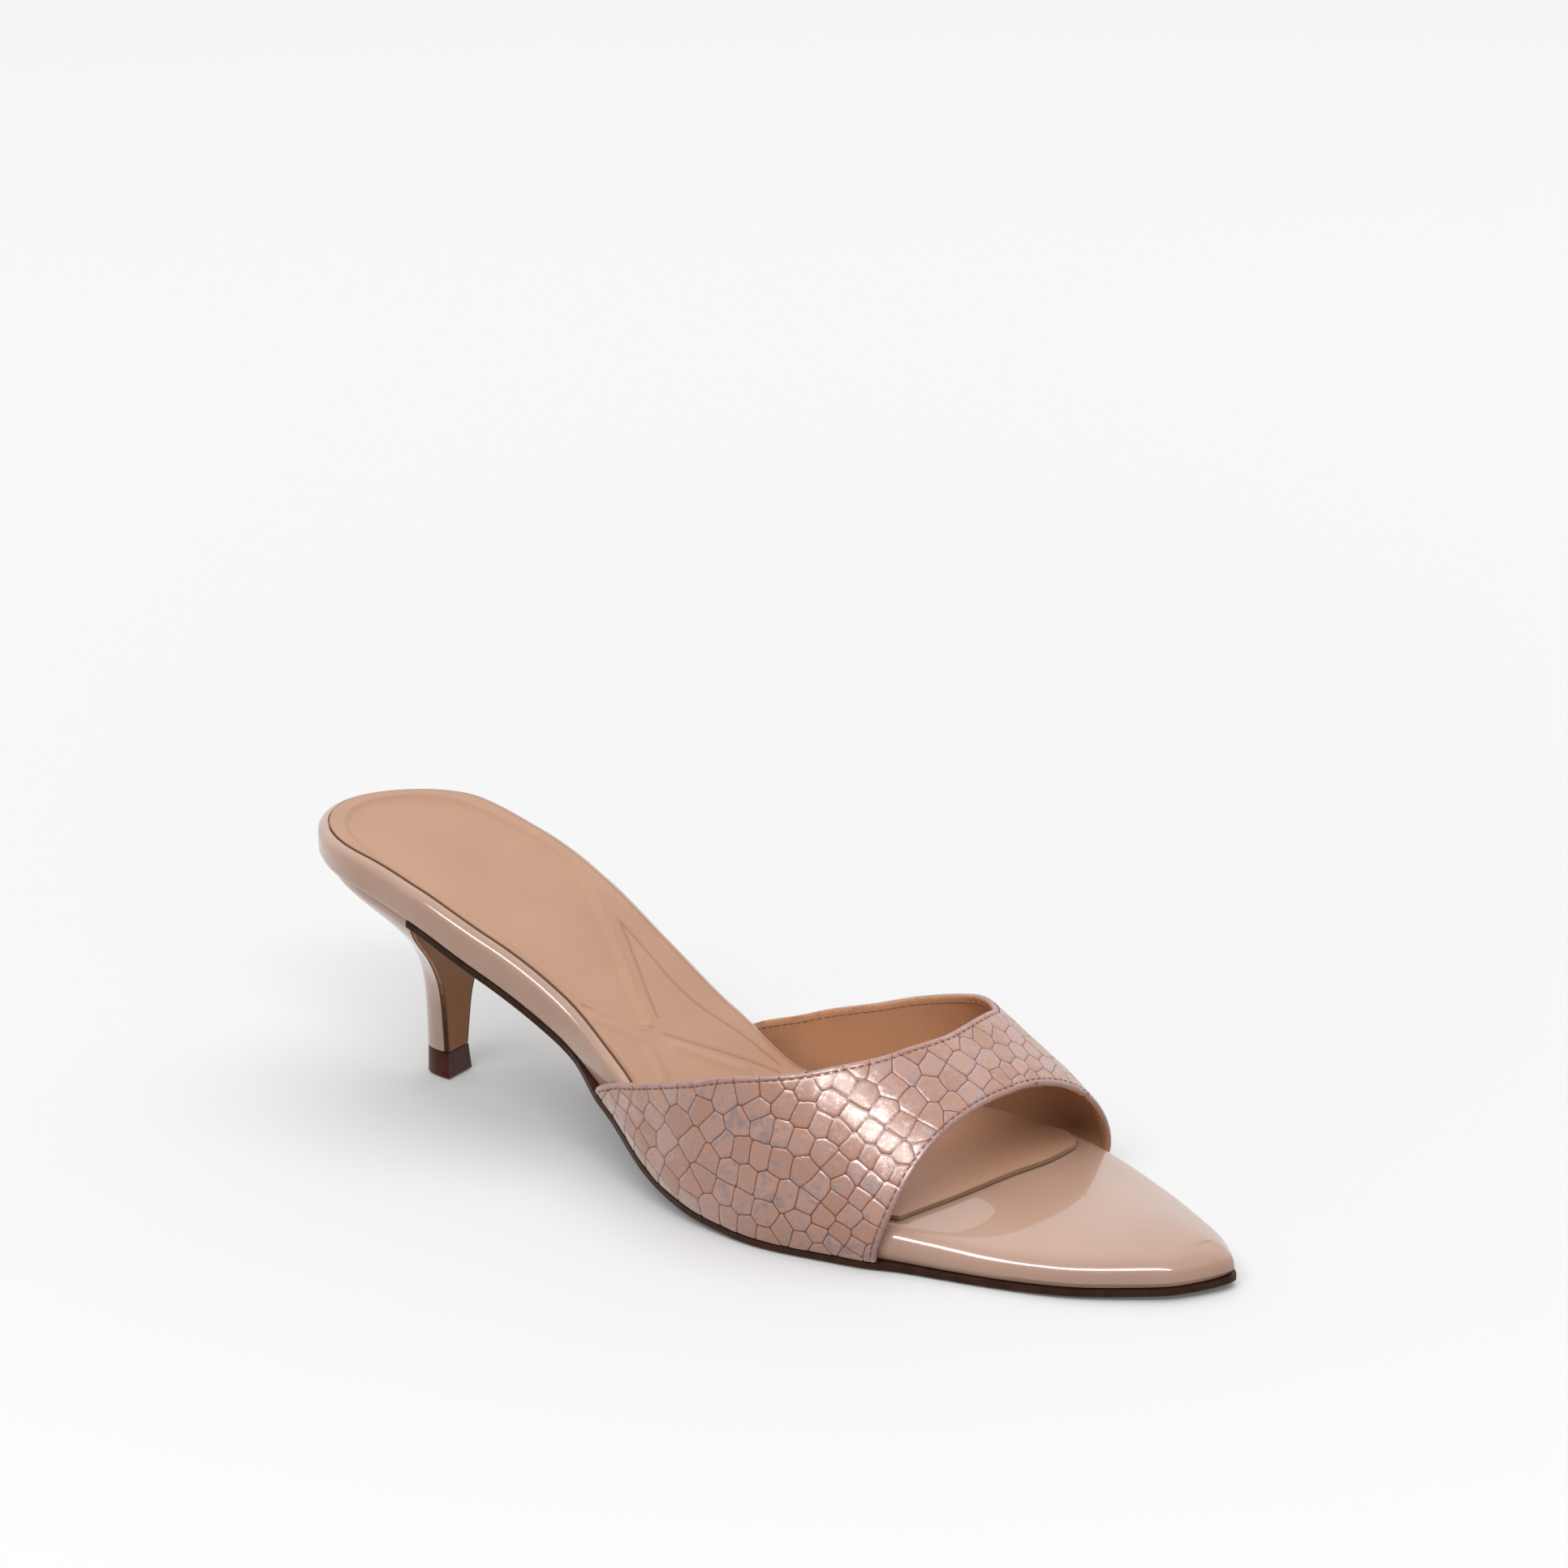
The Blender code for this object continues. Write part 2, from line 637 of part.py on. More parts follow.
def make_top_piece():
    """The hard cap on the floor under the stem and its facing, a little wider at its foot."""
    bm = bmesh.new()
    facing = BREAST_COVER_THICKNESS + CLEARANCE
    levels = (
        (TOP_PIECE_FLARE - TOP_PIECE_BEVEL, 0.0),
        (TOP_PIECE_FLARE, TOP_PIECE_BEVEL),
        (TOP_PIECE_FLARE * TOP_PIECE_WAIST_FLARE, TOP_PIECE_HEIGHT * TOP_PIECE_WAIST_HEIGHT),
        (0.0, TOP_PIECE_HEIGHT),
    )
    rings = [add_ring(bm, [(x, y, z) for x, y in stem_ring(grow, facing + grow)]) for grow, z in levels]
    for lower, upper in zip(rings, rings[1:]):
        bridge(bm, lower, upper)
    bm.faces.new(rings[0])
    bm.faces.new(rings[-1])
    return new_object("top_piece", mesh_from("top_piece", bm), "tip_brown")


def middle_of(pieces, axis):
    """The middle of all the pieces together along one axis, with their walls."""
    graph = bpy.context.evaluated_depsgraph_get()
    places = [corner[axis] for piece in pieces for corner in piece.evaluated_get(graph).bound_box]
    return (min(places) + max(places)) / 2


def make_finishes():
    """One material for each finish."""
    made = {}
    for name, (colour, roughness) in FINISHES.items():
        material = bpy.data.materials.new(name)
        material.use_nodes = True
        shader = material.node_tree.nodes["Principled BSDF"]
        shader.inputs["Base Color"].default_value = (*colour, 1.0)
        shader.inputs["Roughness"].default_value = roughness
        shader.inputs["Metallic"].default_value = 0.0
        made[name] = material
    return made


for old in list(bpy.data.objects):
    bpy.data.objects.remove(old, do_unlink=True)

finishes = make_finishes()
shoe_frame = bpy.data.objects.new("shoe_frame", None)
bpy.context.scene.collection.objects.link(shoe_frame)

shoe = [
    make_outsole(),
    make_footbed(),
    make_sock(),
    make_strap(),
    make_heel(),
    make_breast_cover(),
    make_top_piece(),
]
shoe_frame.location = (-middle_of(shoe, 0), -middle_of(shoe, 1), 0.0)
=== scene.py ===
import json
import math

import bpy
import numpy as np
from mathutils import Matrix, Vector, kdtree, noise

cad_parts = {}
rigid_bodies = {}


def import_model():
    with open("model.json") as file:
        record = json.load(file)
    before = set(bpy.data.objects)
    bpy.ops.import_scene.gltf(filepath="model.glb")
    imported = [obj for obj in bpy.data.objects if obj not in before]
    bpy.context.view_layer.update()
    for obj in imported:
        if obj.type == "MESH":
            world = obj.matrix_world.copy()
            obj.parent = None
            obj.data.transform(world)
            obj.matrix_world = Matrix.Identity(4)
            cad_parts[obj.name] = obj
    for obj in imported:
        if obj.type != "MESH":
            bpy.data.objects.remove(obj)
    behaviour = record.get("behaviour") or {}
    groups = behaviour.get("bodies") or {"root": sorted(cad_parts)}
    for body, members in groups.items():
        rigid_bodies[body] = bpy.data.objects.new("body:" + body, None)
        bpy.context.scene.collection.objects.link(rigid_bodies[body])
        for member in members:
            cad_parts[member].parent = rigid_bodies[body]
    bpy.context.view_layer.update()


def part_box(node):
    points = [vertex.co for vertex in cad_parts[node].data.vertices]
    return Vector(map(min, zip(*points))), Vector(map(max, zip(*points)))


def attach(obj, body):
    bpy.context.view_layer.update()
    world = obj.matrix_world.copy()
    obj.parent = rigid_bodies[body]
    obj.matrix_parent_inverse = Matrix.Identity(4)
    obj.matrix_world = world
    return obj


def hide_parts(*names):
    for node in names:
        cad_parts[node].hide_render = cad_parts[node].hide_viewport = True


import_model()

# The last's own frame: back of the heel at x = 0, outer side along -Y, floor at z = 0
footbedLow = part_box("footbed")[0]
tipLow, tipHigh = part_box("top_piece")
lastPlace = np.array([footbedLow[0], (tipLow[1] + tipHigh[1]) / 2, 0.0])


def table(header, *rows):
    names = header.split()
    return {name: np.array([row[i] for row in rows], float) for i, name in enumerate(names)}


# Sizes in metres that several pieces share
shoe = {
    "length": 0.250,
    "ballWidth": 0.080,
    "heelRise": 0.0535,
    "toeSpring": 0.0014,
    "heelSeatRadius": 0.0260,
    "toeTipRadius": 0.0090,
    "clearance": 0.0003,
    "sideRoom": 0.0002,
    "sockThickness": 0.0010,
    "strapWall": 0.0015,
    "mergeReach": 0.000002,
}

# Half widths of the footbed as shares of the ball width
plan = table(
    "along outer inner",
    (0.00, 0.285, 0.285),
    (0.10, 0.310, 0.328),
    (0.20, 0.324, 0.334),
    (0.32, 0.286, 0.296),
    (0.39, 0.333, 0.272),
    (0.46, 0.421, 0.266),
    (0.53, 0.482, 0.305),
    (0.60, 0.503, 0.380),
    (0.68, 0.470, 0.462),
    (0.74, 0.434, 0.466),
    (0.78, 0.412, 0.440),
    (0.88, 0.334, 0.292),
    (0.95, 0.216, 0.150),
    (1.00, 0.098, 0.036),
)

# The sole's rise and toe spring along the shoe
profile = table(
    "along rise spring",
    (0.00, 1.000, 0.0),
    (0.08, 0.972, 0.0),
    (0.16, 0.874, 0.0),
    (0.24, 0.711, 0.0),
    (0.32, 0.500, 0.0),
    (0.40, 0.283, 0.0),
    (0.48, 0.082, 0.0),
    (0.54, 0.022, 0.0),
    (0.60, 0.000, 0.0),
    (0.80, 0.000, 0.0),
    (0.90, 0.000, 0.35),
    (1.00, 0.000, 1.0),
)


def follow(rows, name, at):
    # a curve over the table's first column that goes through its rows and never overshoots them
    x, y = next(iter(rows.values())), rows[name]
    at = np.clip(np.asarray(at, float), x[0], x[-1])
    gap = np.diff(x)
    rise = np.diff(y) / gap
    slope = np.empty(len(x))
    slope[0], slope[-1] = rise[0], rise[-1]
    before, after = rise[:-1], rise[1:]
    nearBefore, nearAfter = 2 * gap[1:] + gap[:-1], gap[1:] + 2 * gap[:-1]
    climbs = before * after > 0
    safeBefore, safeAfter = np.where(climbs, before, 1.0), np.where(climbs, after, 1.0)
    inside = (nearBefore + nearAfter) / (nearBefore / safeBefore + nearAfter / safeAfter)
    slope[1:-1] = np.where(climbs, inside, 0.0)
    i = np.clip(np.searchsorted(x, at, side="right") - 1, 0, len(gap) - 1)
    t = (at - x[i]) / gap[i]
    start = y[i] * (1 + 2 * t) * (1 - t) ** 2 + slope[i] * gap[i] * t * (1 - t) ** 2
    end = y[i + 1] * t * t * (3 - 2 * t) - slope[i + 1] * gap[i] * t * t * (1 - t)
    return start + end


def ease(share):
    share = np.clip(share, 0.0, 1.0)
    return share * share * (3 - 2 * share)


def bell(distance, width):
    return np.exp(-((distance / width) ** 2))


def endRound(distance, radius, inset):
    short = np.clip((radius - distance) / (radius - inset), 0.0, 1.0)
    return np.sqrt(1.0 - short * short)


def halfWidth(side, x, inset=0.0):
    width = shoe["ballWidth"] * follow(plan, side, x / shoe["length"]) - inset
    heel = endRound(x, shoe["heelSeatRadius"], inset)
    toe = endRound(shoe["length"] - x, shoe["toeTipRadius"], inset)
    return width * heel * toe


def footbedEdges(x, inset):
    # where the footbed's outer and inner edges lie across the shoe
    return -halfWidth("outer", x, inset), halfWidth("inner", x, inset)


def treadHeight(x):
    along = x / shoe["length"]
    rise = shoe["heelRise"] * follow(profile, "rise", along)
    return rise + shoe["toeSpring"] * follow(profile, "spring", along)


def soleSlope(x):
    step = 0.0005
    return np.hypot(1.0, (treadHeight(x + step) - treadHeight(x - step)) / (2 * step))


def outsoleTop(x):
    return treadHeight(x) + outsole["thickness"] * soleSlope(x)


def featherHeight(x):
    return outsoleTop(x) + shoe["clearance"]


# Modelling helpers

def selectOnly(piece):
    bpy.ops.object.select_all(action="DESELECT")
    piece.select_set(True)
    bpy.context.view_layer.objects.active = piece


def startEdit(piece, kind, action):
    selectOnly(piece)
    bpy.ops.object.mode_set(mode="EDIT")
    bpy.ops.mesh.select_mode(type=kind)
    bpy.ops.mesh.select_all(action=action)


def endEdit():
    bpy.ops.object.mode_set(mode="OBJECT")


def readVertices(piece, field):
    flat = np.empty(len(piece.data.vertices) * 3)
    piece.data.vertices.foreach_get(field, flat)
    return flat.reshape(-1, 3)


def getPoints(piece):
    return readVertices(piece, "co")


def setPoints(piece, points):
    piece.data.vertices.foreach_set("co", np.ascontiguousarray(points, float).ravel())
    piece.data.update()


def selectFaces(piece, chosen):
    # edit the piece with only the chosen faces selected
    startEdit(piece, "FACE", "DESELECT")
    endEdit()
    piece.data.polygons.foreach_set("select", chosen)
    bpy.ops.object.mode_set(mode="EDIT")


def flipFaces(piece):
    startEdit(piece, "VERT", "SELECT")
    bpy.ops.mesh.flip_normals()
    endEdit()


def makeTree(places):
    tree = kdtree.KDTree(len(places))
    for i, place in enumerate(places):
        tree.insert(place, i)
    tree.balance()
    return tree


def addObject(add, name, **settings):
    bpy.ops.object.select_all(action="DESELECT")
    add(**settings)
    made = bpy.context.active_object
    made.name = name
    return made


def addGrid(name, across, along, place):
    # a flat grid whose points are then put in place by a function of their two shares
    add = bpy.ops.mesh.primitive_grid_add
    piece = addObject(add, name, x_subdivisions=across, y_subdivisions=along, size=1, location=(0, 0, 0))
    piece.data.name = name
    flat = getPoints(piece)
    setPoints(piece, place(flat[:, 0] + 0.5, flat[:, 1] + 0.5) + lastPlace)
    return piece


def closeUp(piece, *heights):
    # merge the seam and the poles, cap each open end between two heights and turn the faces outwards
    startEdit(piece, "VERT", "SELECT")
    bpy.ops.mesh.remove_doubles(threshold=shoe["mergeReach"])
    endEdit()
    for low, high in zip(heights[:-1], heights[1:]):
        startEdit(piece, "EDGE", "DESELECT")
        bpy.ops.mesh.select_non_manifold()
        endEdit()
        points = getPoints(piece)
        for edge in piece.data.edges:
            edge.select = edge.select and all(low < points[i][2] < high for i in edge.vertices)
        bpy.ops.object.mode_set(mode="EDIT")
        bpy.ops.mesh.fill()
        endEdit()
    startEdit(piece, "VERT", "SELECT")
    bpy.ops.mesh.normals_make_consistent(inside=False)
    endEdit()
    faceOut(piece)


def faceOut(piece):
    # a closed piece whose volume comes out negative is inside out
    piece.data.calc_loop_triangles()
    corners = np.empty(len(piece.data.loop_triangles) * 3, int)
    piece.data.loop_triangles.foreach_get("vertices", corners)
    first, second, third = getPoints(piece)[corners.reshape(-1, 3)].transpose(1, 0, 2)
    if (first * np.cross(second, third)).sum() < 0:
        flipFaces(piece)


def applyModifier(piece, kind, **settings):
    selectOnly(piece)
    bpy.ops.object.modifier_add(type=kind)
    modifier = piece.modifiers[-1]
    for name, value in settings.items():
        setattr(modifier, name, value)
    bpy.ops.object.modifier_apply(modifier=modifier.name)


def faceUp(piece, direction):
    # turn an open sheet so that it faces the way given
    towards = sum((polygon.normal for polygon in piece.data.polygons), Vector((0, 0, 0)))
    if towards.dot(Vector(direction)) < 0:
        flipFaces(piece)


def addAttribute(piece, name, values):
    attribute = piece.data.attributes.new(name, "FLOAT", "POINT")
    attribute.data.foreach_set("value", np.ascontiguousarray(values, float))


def finishPiece(piece, finishName, slotName, *nodes, angle=40):
    selectOnly(piece)
    bpy.ops.object.shade_smooth_by_angle(angle=math.radians(angle))
    piece.data.materials.clear()
    piece.data.materials.append(finished[finishName])
    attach(piece, "root")
    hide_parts(*nodes)
    print("made", piece.name, len(piece.data.polygons), "faces")


# Shader maths

class Wire:
    def __init__(self, shade, socket):
        self.shade, self.socket = shade, socket

    def maths(self, operation, *others, first=None):
        values = [self, *others] if first is None else [first, self]
        return self.shade.node("ShaderNodeMath", {"operation": operation}, dict(enumerate(values)))

    def __add__(self, other):
        return self.maths("ADD", other)

    def __sub__(self, other):
        return self.maths("SUBTRACT", other)

    def __rsub__(self, other):
        return self.maths("SUBTRACT", first=other)

    def __mul__(self, other):
        return self.maths("MULTIPLY", other)

    __radd__ = __add__
    __rmul__ = __mul__

    def ramp(self, low, high, start=0.0, end=1.0):
        sockets = {"Value": self, "From Min": low, "From Max": high, "To Min": start, "To Max": end}
        return self.shade.node("ShaderNodeMapRange", {"interpolation_type": "SMOOTHSTEP"}, sockets)


class Shade:
    def __init__(self, owner, shader="Principled BSDF"):
        owner.use_nodes = True
        self.owner, self.tree = owner, owner.node_tree
        self.shader = self.tree.nodes[shader]

    def put(self, socket, value):
        if isinstance(value, Wire):
            self.tree.links.new(value.socket, socket)
        elif isinstance(value, tuple) and len(value) == 3 and socket.type == "RGBA":
            socket.default_value = (*value, 1.0)
        else:
            socket.default_value = value

    def node(self, kind, settings=None, sockets=None, output=0):
        made = self.tree.nodes.new(kind)
        for name, value in (settings or {}).items():
            setattr(made, name, value)
        for name, value in (sockets or {}).items():
            self.put(made.inputs[name], value)
        return Wire(self, made.outputs[output])

    def mix(self, factor, first, second):
        return self.node("ShaderNodeMix", {"data_type": "RGBA"}, {0: factor, 6: first, 7: second}, 2)

    def places(self):
        return self.node("ShaderNodeTexCoord", None, None, "Object")

    def attribute(self, name):
        return self.node("ShaderNodeAttribute", {"attribute_name": name}, None, "Fac")

    def noise(self, scale, detail=2.0, roughness=0.5):
        sockets = {"Vector": self.places(), "Scale": scale, "Detail": detail, "Roughness": roughness}
        return self.node("ShaderNodeTexNoise", None, sockets, "Fac")

    def bump(self, height, distance, strength):
        sockets = {"Height": height, "Distance": distance, "Strength": strength}
        return self.node("ShaderNodeBump", None, sockets)

    def surface(self, values):
        for name, value in values.items():
            self.put(self.shader.inputs[name], value)
        return self.owner


# Each finish: two colours, inks and painted shade laid on where an attribute says, the scale and detail of
# its clouds and of its grain, the grain's depth in metres and its strength, and the shader's own values
inkAndCreaseShade = (0.200, 0.095, 0.050)
finishes = {
    "patentNude": {
        "colours": ((0.440, 0.275, 0.205), (0.480, 0.305, 0.230)),
        "cloud": (35.0, 2.0),
        "grain": (160.0, 2.0),
        "relief": (0.00006, 0.35),
        "shader": {"Roughness": 0.30, "Coat Weight": 1.0, "Coat Roughness": 0.025, "Coat IOR": 1.65},
    },
    "sockLeather": {
        "colours": ((0.430, 0.240, 0.152), (0.472, 0.270, 0.174)),
        # the crease mark is painted shade, darkening the sock along its pressed creases
        "inksAndShade": (("crease", 0.5, inkAndCreaseShade), ("edgeInk", 0.8, inkAndCreaseShade), ("frontInk", 1.0, (0.320, 0.190, 0.115))),
        "cloud": (26.0, 3.0),
        "grain": (2600.0, 2.0),
        "relief": (0.00005, 0.5),
        "roughness": (0.38, 0.50),
        "shader": {"Specular IOR Level": 0.6},
    },
    "liningTan": {
        "colours": ((0.490, 0.245, 0.130), (0.540, 0.285, 0.158)),
        "cloud": (40.0, 3.0),
        "grain": (2200.0, 2.0),
        "relief": (0.00005, 0.5),
        "shader": {"Roughness": 0.5},
    },
    "breastTan": {
        "colours": ((0.315, 0.116, 0.034), (0.375, 0.146, 0.046)),
        "inksAndShade": (("edgeInk", 1.0, (0.050, 0.018, 0.010)),),
        "cloud": (60.0, 3.0),
        "grain": (1800.0, 3.0),
        "relief": (0.00006, 0.5),
        "shader": {"Roughness": 0.45, "Specular IOR Level": 0.25},
    },
    "soleBrown": {
        "colours": ((0.034, 0.012, 0.006), (0.055, 0.021, 0.011)),
        "cloud": (300.0, 4.0, 0.6),
        "shader": {"Roughness": 0.42, "Specular IOR Level": 0.35},
    },
    "tipBrown": {
        "colours": ((0.046, 0.010, 0.004), (0.080, 0.020, 0.008)),
        "cloud": (200.0, 4.0, 0.6),
        "shader": {
            "Roughness": 0.38, "Specular IOR Level": 0.25, "Coat Weight": 0.12, "Coat Roughness": 0.12,
        },
    },
    "threadTan": {
        "colours": ((0.350, 0.190, 0.110), (0.500, 0.300, 0.190)),
        "cloud": (2500.0, 4.0, 0.6),
        "shader": {"Roughness": 0.6},
    },
    "threadRose": {
        "colours": ((0.150, 0.062, 0.042), (0.260, 0.125, 0.088)),
        "cloud": (2500.0, 4.0, 0.6),
        "shader": {"Roughness": 0.6},
    },
}


def makeFinish(name):
    finish = finishes[name]
    shade = Shade(bpy.data.materials.new(name))
    cloud = shade.noise(*finish["cloud"])
    colour = shade.mix(cloud.ramp(0.3, 0.7), *finish["colours"])
    for attribute, share, colourThere in finish.get("inksAndShade", ()):
        colour = shade.mix(shade.attribute(attribute) * share, colour, colourThere)
    grain = shade.noise(*finish["grain"]) if "grain" in finish else cloud
    relief = shade.bump(grain, *finish.get("relief", (0.00006, 0.5)))
    values = {"Base Color": colour, "Normal": relief, **finish["shader"]}
    if "roughness" in finish:
        values["Roughness"] = grain.ramp(0.2, 0.8, *finish["roughness"])
    return shade.surface(values)


# Distances from the grooves are in mm here, as the attributes hold them
scaleFinish = {
    "base": ((0.420, 0.212, 0.148), (0.510, 0.275, 0.200)),
    "pearl": ((0.400, 0.215, 0.205), (0.900, 0.710, 0.680)),
    "groove": (0.165, 0.042, 0.024),
    "fold": (0.370, 0.218, 0.200),
    "thread": (0.150, 0.048, 0.034),
    "patches": (400.0, 6.0, 0.72),
    "flecks": (2400.0, 3.0, 0.6),
    "grain": (900.0, 3.0, 0.6),
    "relief": (0.00014, 0.6),
    "grooveWidth": (0.05, 0.22),
    "grooveRoom": (0.18, 0.36),
    "foilEdge": (0.46, 0.62),
    "foilCover": 0.85,
    "foilMetal": 0.65,
    "foldCover": 0.8,
    "threadCover": 0.45,
}


def makeScaleLeather():
    shade = Shade(bpy.data.materials.new("scaledLeather"))
    line = shade.attribute("side").maths("ABSOLUTE")
    groove = 1 - line.ramp(*scaleFinish["grooveWidth"])
    groove = groove * (1 - shade.attribute("room").ramp(*scaleFinish["grooveRoom"]))
    tone, fold = shade.attribute("tone"), shade.attribute("fold")
    unfolded = 1 - fold * 0.5
    groove = groove * unfolded
    patch = shade.noise(*scaleFinish["patches"])
    fleck = shade.noise(*scaleFinish["flecks"])
    foil = (patch * 0.75 + fleck * 0.25 + tone * 0.10 - 0.05).ramp(*scaleFinish["foilEdge"])
    base = shade.mix(tone, *scaleFinish["base"])
    pearl = shade.mix(fleck, *scaleFinish["pearl"])
    colour = shade.mix(foil * scaleFinish["foilCover"], base, pearl)
    colour = shade.mix(groove, colour, scaleFinish["groove"])
    colour = shade.mix(fold * (1 - groove) * scaleFinish["foldCover"], colour, scaleFinish["fold"])
    colour = shade.mix(shade.attribute("seam") * scaleFinish["threadCover"], colour, scaleFinish["thread"])
    grain = shade.noise(*scaleFinish["grain"])
    return shade.surface({
        "Base Color": colour,
        "Metallic": foil * scaleFinish["foilMetal"] * (1 - groove) * unfolded,
        "Roughness": foil.ramp(0.0, 1.0, 0.42, 0.38),
        "Normal": shade.bump(grain, *scaleFinish["relief"]),
        "Coat Weight": 0.85,
        "Coat Roughness": 0.28,
        "Coat IOR": 1.8,
    })


finished = {name: makeFinish(name) for name in finishes}
finished["scaledLeather"] = makeScaleLeather()
print("materials ready")


# Outsole
outsole = {
    "thickness": 0.0017,
    "lip": 0.0005,
    "bevel": 0.0003,
    "breastTop": 0.0392,
    "stepsAlong": 260,
    "stepsAcross": 24,
}

outsolePlan = table(
    "along lip outer inner",
    (0.14, -1.0, 0.0, 0.0),
    (0.34, -0.6, 0.0, 0.0),
    (0.39, 0.4, 1.0, 1.0),
    (0.70, 0.4, 1.0, 1.0),
    (0.74, 0.4, 0.4, 1.0),
    (0.78, 0.8, 0.1, 1.0),
    (0.84, 1.0, 0.0, 0.1),
    (1.00, 1.0, 0.0, 0.0),
)


def outsoleHalfWidth(side, x, inset):
    along = x / shoe["length"]
    lip = outsole["lip"] * follow(outsolePlan, "lip", along)
    wall = shoe["strapWall"] + shoe["clearance"] + shoe["sideRoom"]
    wall = wall * follow(outsolePlan, side, along)
    width = shoe["ballWidth"] * follow(plan, side, along) + lip + wall - inset
    end = shoe["length"] + outsole["lip"]
    return width * endRound(end - x, shoe["toeTipRadius"] + outsole["lip"], inset)


def outsoleSection():
    # the lines along the sole, round from the inner side's lower edge: their level and share across
    shares = [k / outsole["stepsAcross"] for k in range(outsole["stepsAcross"] + 1)]
    under = [("under", 1 - share) for share in shares]
    return under + [("edge", 0.0)] + [("top", share) for share in shares] + [("edge", 1.0), under[0]]


def placeOutsole(u, v):
    rows = outsoleSection()
    index = np.rint(u * (len(rows) - 1)).astype(int)
    level = np.array([("under", "edge", "top").index(row[0]) for row in rows])[index]
    across = np.array([row[1] for row in rows])[index]
    start = outsole["breastTop"] + shoe["clearance"]
    end = shoe["length"] + outsole["lip"]
    inset = np.where(level == 0, outsole["bevel"], 0.0)
    x = start + (end - inset - start) * np.sin(math.pi / 2 * v)
    outer, inner = -outsoleHalfWidth("outer", x, inset), outsoleHalfWidth("inner", x, inset)
    z = np.where(level == 2, outsoleTop(x), treadHeight(x) + np.where(level == 1, outsole["bevel"], 0.0))
    return np.column_stack((x, outer + (inner - outer) * across, z))


def makeOutsole():
    piece = addGrid("outsoleSheet", len(outsoleSection()) - 1, outsole["stepsAlong"], placeOutsole)
    closeUp(piece, -1, 1)
    finishPiece(piece, "soleBrown", "sole", "outsole", angle=30)


# Footbed wrapped in patent leather
footbed = {
    "thickness": 0.0082,
    "crown": 0.0022,
    "crownWidth": 0.0320,
    "heelRound": 0.0024,
    "toeRound": 0.0056,
    "undercut": 0.0007,
    "undercutHeight": 0.0014,
    "swellStart": 0.55,
    "swellReach": 0.25,
    "bedFadeStart": 0.52,
    "bedFadeReach": 0.16,
    "sockRim": 0.0001,
    "stepsAlong": 260,
    "roundSteps": 12,
    "topSteps": 40,
    "underSteps": 6,
    "softReach": 0.0030,
    "softRounds": 150,
    "softHeight": 0.6,
    "softStart": 0.76,
    "softFade": 0.06,
    "softLeast": 0.02,
}

padding = table(
    "along edge crown",
    (0.00, 0.90, 0.10),
    (0.20, 0.98, 0.10),
    (0.40, 1.00, 0.10),
    (0.60, 1.00, 0.30),
    (0.75, 0.92, 0.80),
    (0.88, 0.83, 1.00),
    (1.00, 0.80, 0.90),
)


def footbedRound(x):
    swell = ease((x / shoe["length"] - footbed["swellStart"]) / footbed["swellReach"])
    return footbed["heelRound"] + (footbed["toeRound"] - footbed["heelRound"]) * swell


def footbedThickness(x):
    return footbed["thickness"] * soleSlope(x) * follow(padding, "edge", x / shoe["length"])


def footbedTop(x, across):
    outer, inner = footbedEdges(x, footbedRound(x))
    fullness = np.minimum(1.0, (inner - outer) / footbed["crownWidth"])
    crown = footbed["crown"] * follow(padding, "crown", x / shoe["length"]) * fullness * (2 - fullness)
    return featherHeight(x) + footbedThickness(x) + crown * (1 - across * across)


def sockBed(x, across):
    fade = ease((x / shoe["length"] - footbed["bedFadeStart"]) / footbed["bedFadeReach"])
    return footbedTop(x, across) - shoe["sockThickness"] * (1 - fade)


def footbedSection():
    # one row for each line along the footbed: its kind, how far round the edge it is and its share across
    under, over, turns = footbed["underSteps"], footbed["topSteps"], footbed["roundSteps"]
    below = [("under", 0.0, 1 - 2 * k / under) for k in range(under + 1)]
    shares = [k / turns for k in range(turns + 1)]
    rows = below[under // 2:] + [("side", 0.0, -1.0)] + [("round", share, -1.0) for share in shares]
    rows += [("bed", 1.0, 2 * k / over - 1) for k in range(over + 1)]
    rows += [("round", 1 - share, 1.0) for share in shares] + [("side", 0.0, 1.0)]
    return rows + below[:under // 2 + 1]


def placeFootbed(u, v):
    rows = footbedSection()
    index = np.rint(u * (len(rows) - 1)).astype(int)
    share = (1 - np.cos(math.pi * v)) / 2
    points = np.empty((len(u), 3))
    for i, (kind, turn, across) in enumerate(rows):
        here = index == i
        s = share[here]
        angle = math.pi / 2 * turn
        if kind == "under":
            start, end = footbed["undercut"], shoe["length"] - footbed["undercut"]
            x = start + (end - start) * s
            inset = np.full_like(x, footbed["undercut"])
            z = featherHeight(x)
        elif kind == "side":
            x = shoe["length"] * s
            inset = np.zeros_like(x)
            z = featherHeight(x) + footbed["undercutHeight"]
        else:
            further, drawIn = (footbed["sockRim"], 1.0) if kind == "bed" else (0.0, 1 - math.cos(angle))
            start = footbed["heelRound"] * drawIn + further
            end = shoe["length"] - footbed["toeRound"] * drawIn - further
            x = start + (end - start) * s
            inset = footbedRound(x) * drawIn + further
            if kind == "bed":
                z = sockBed(x, across)
            else:
                z = featherHeight(x) + footbedThickness(x) - footbedRound(x) * (1 - math.sin(angle))
        outer, inner = footbedEdges(x, inset)
        y = outer + (inner - outer) * (across + 1) / 2
        points[here] = np.column_stack((x, y, z))
    return points


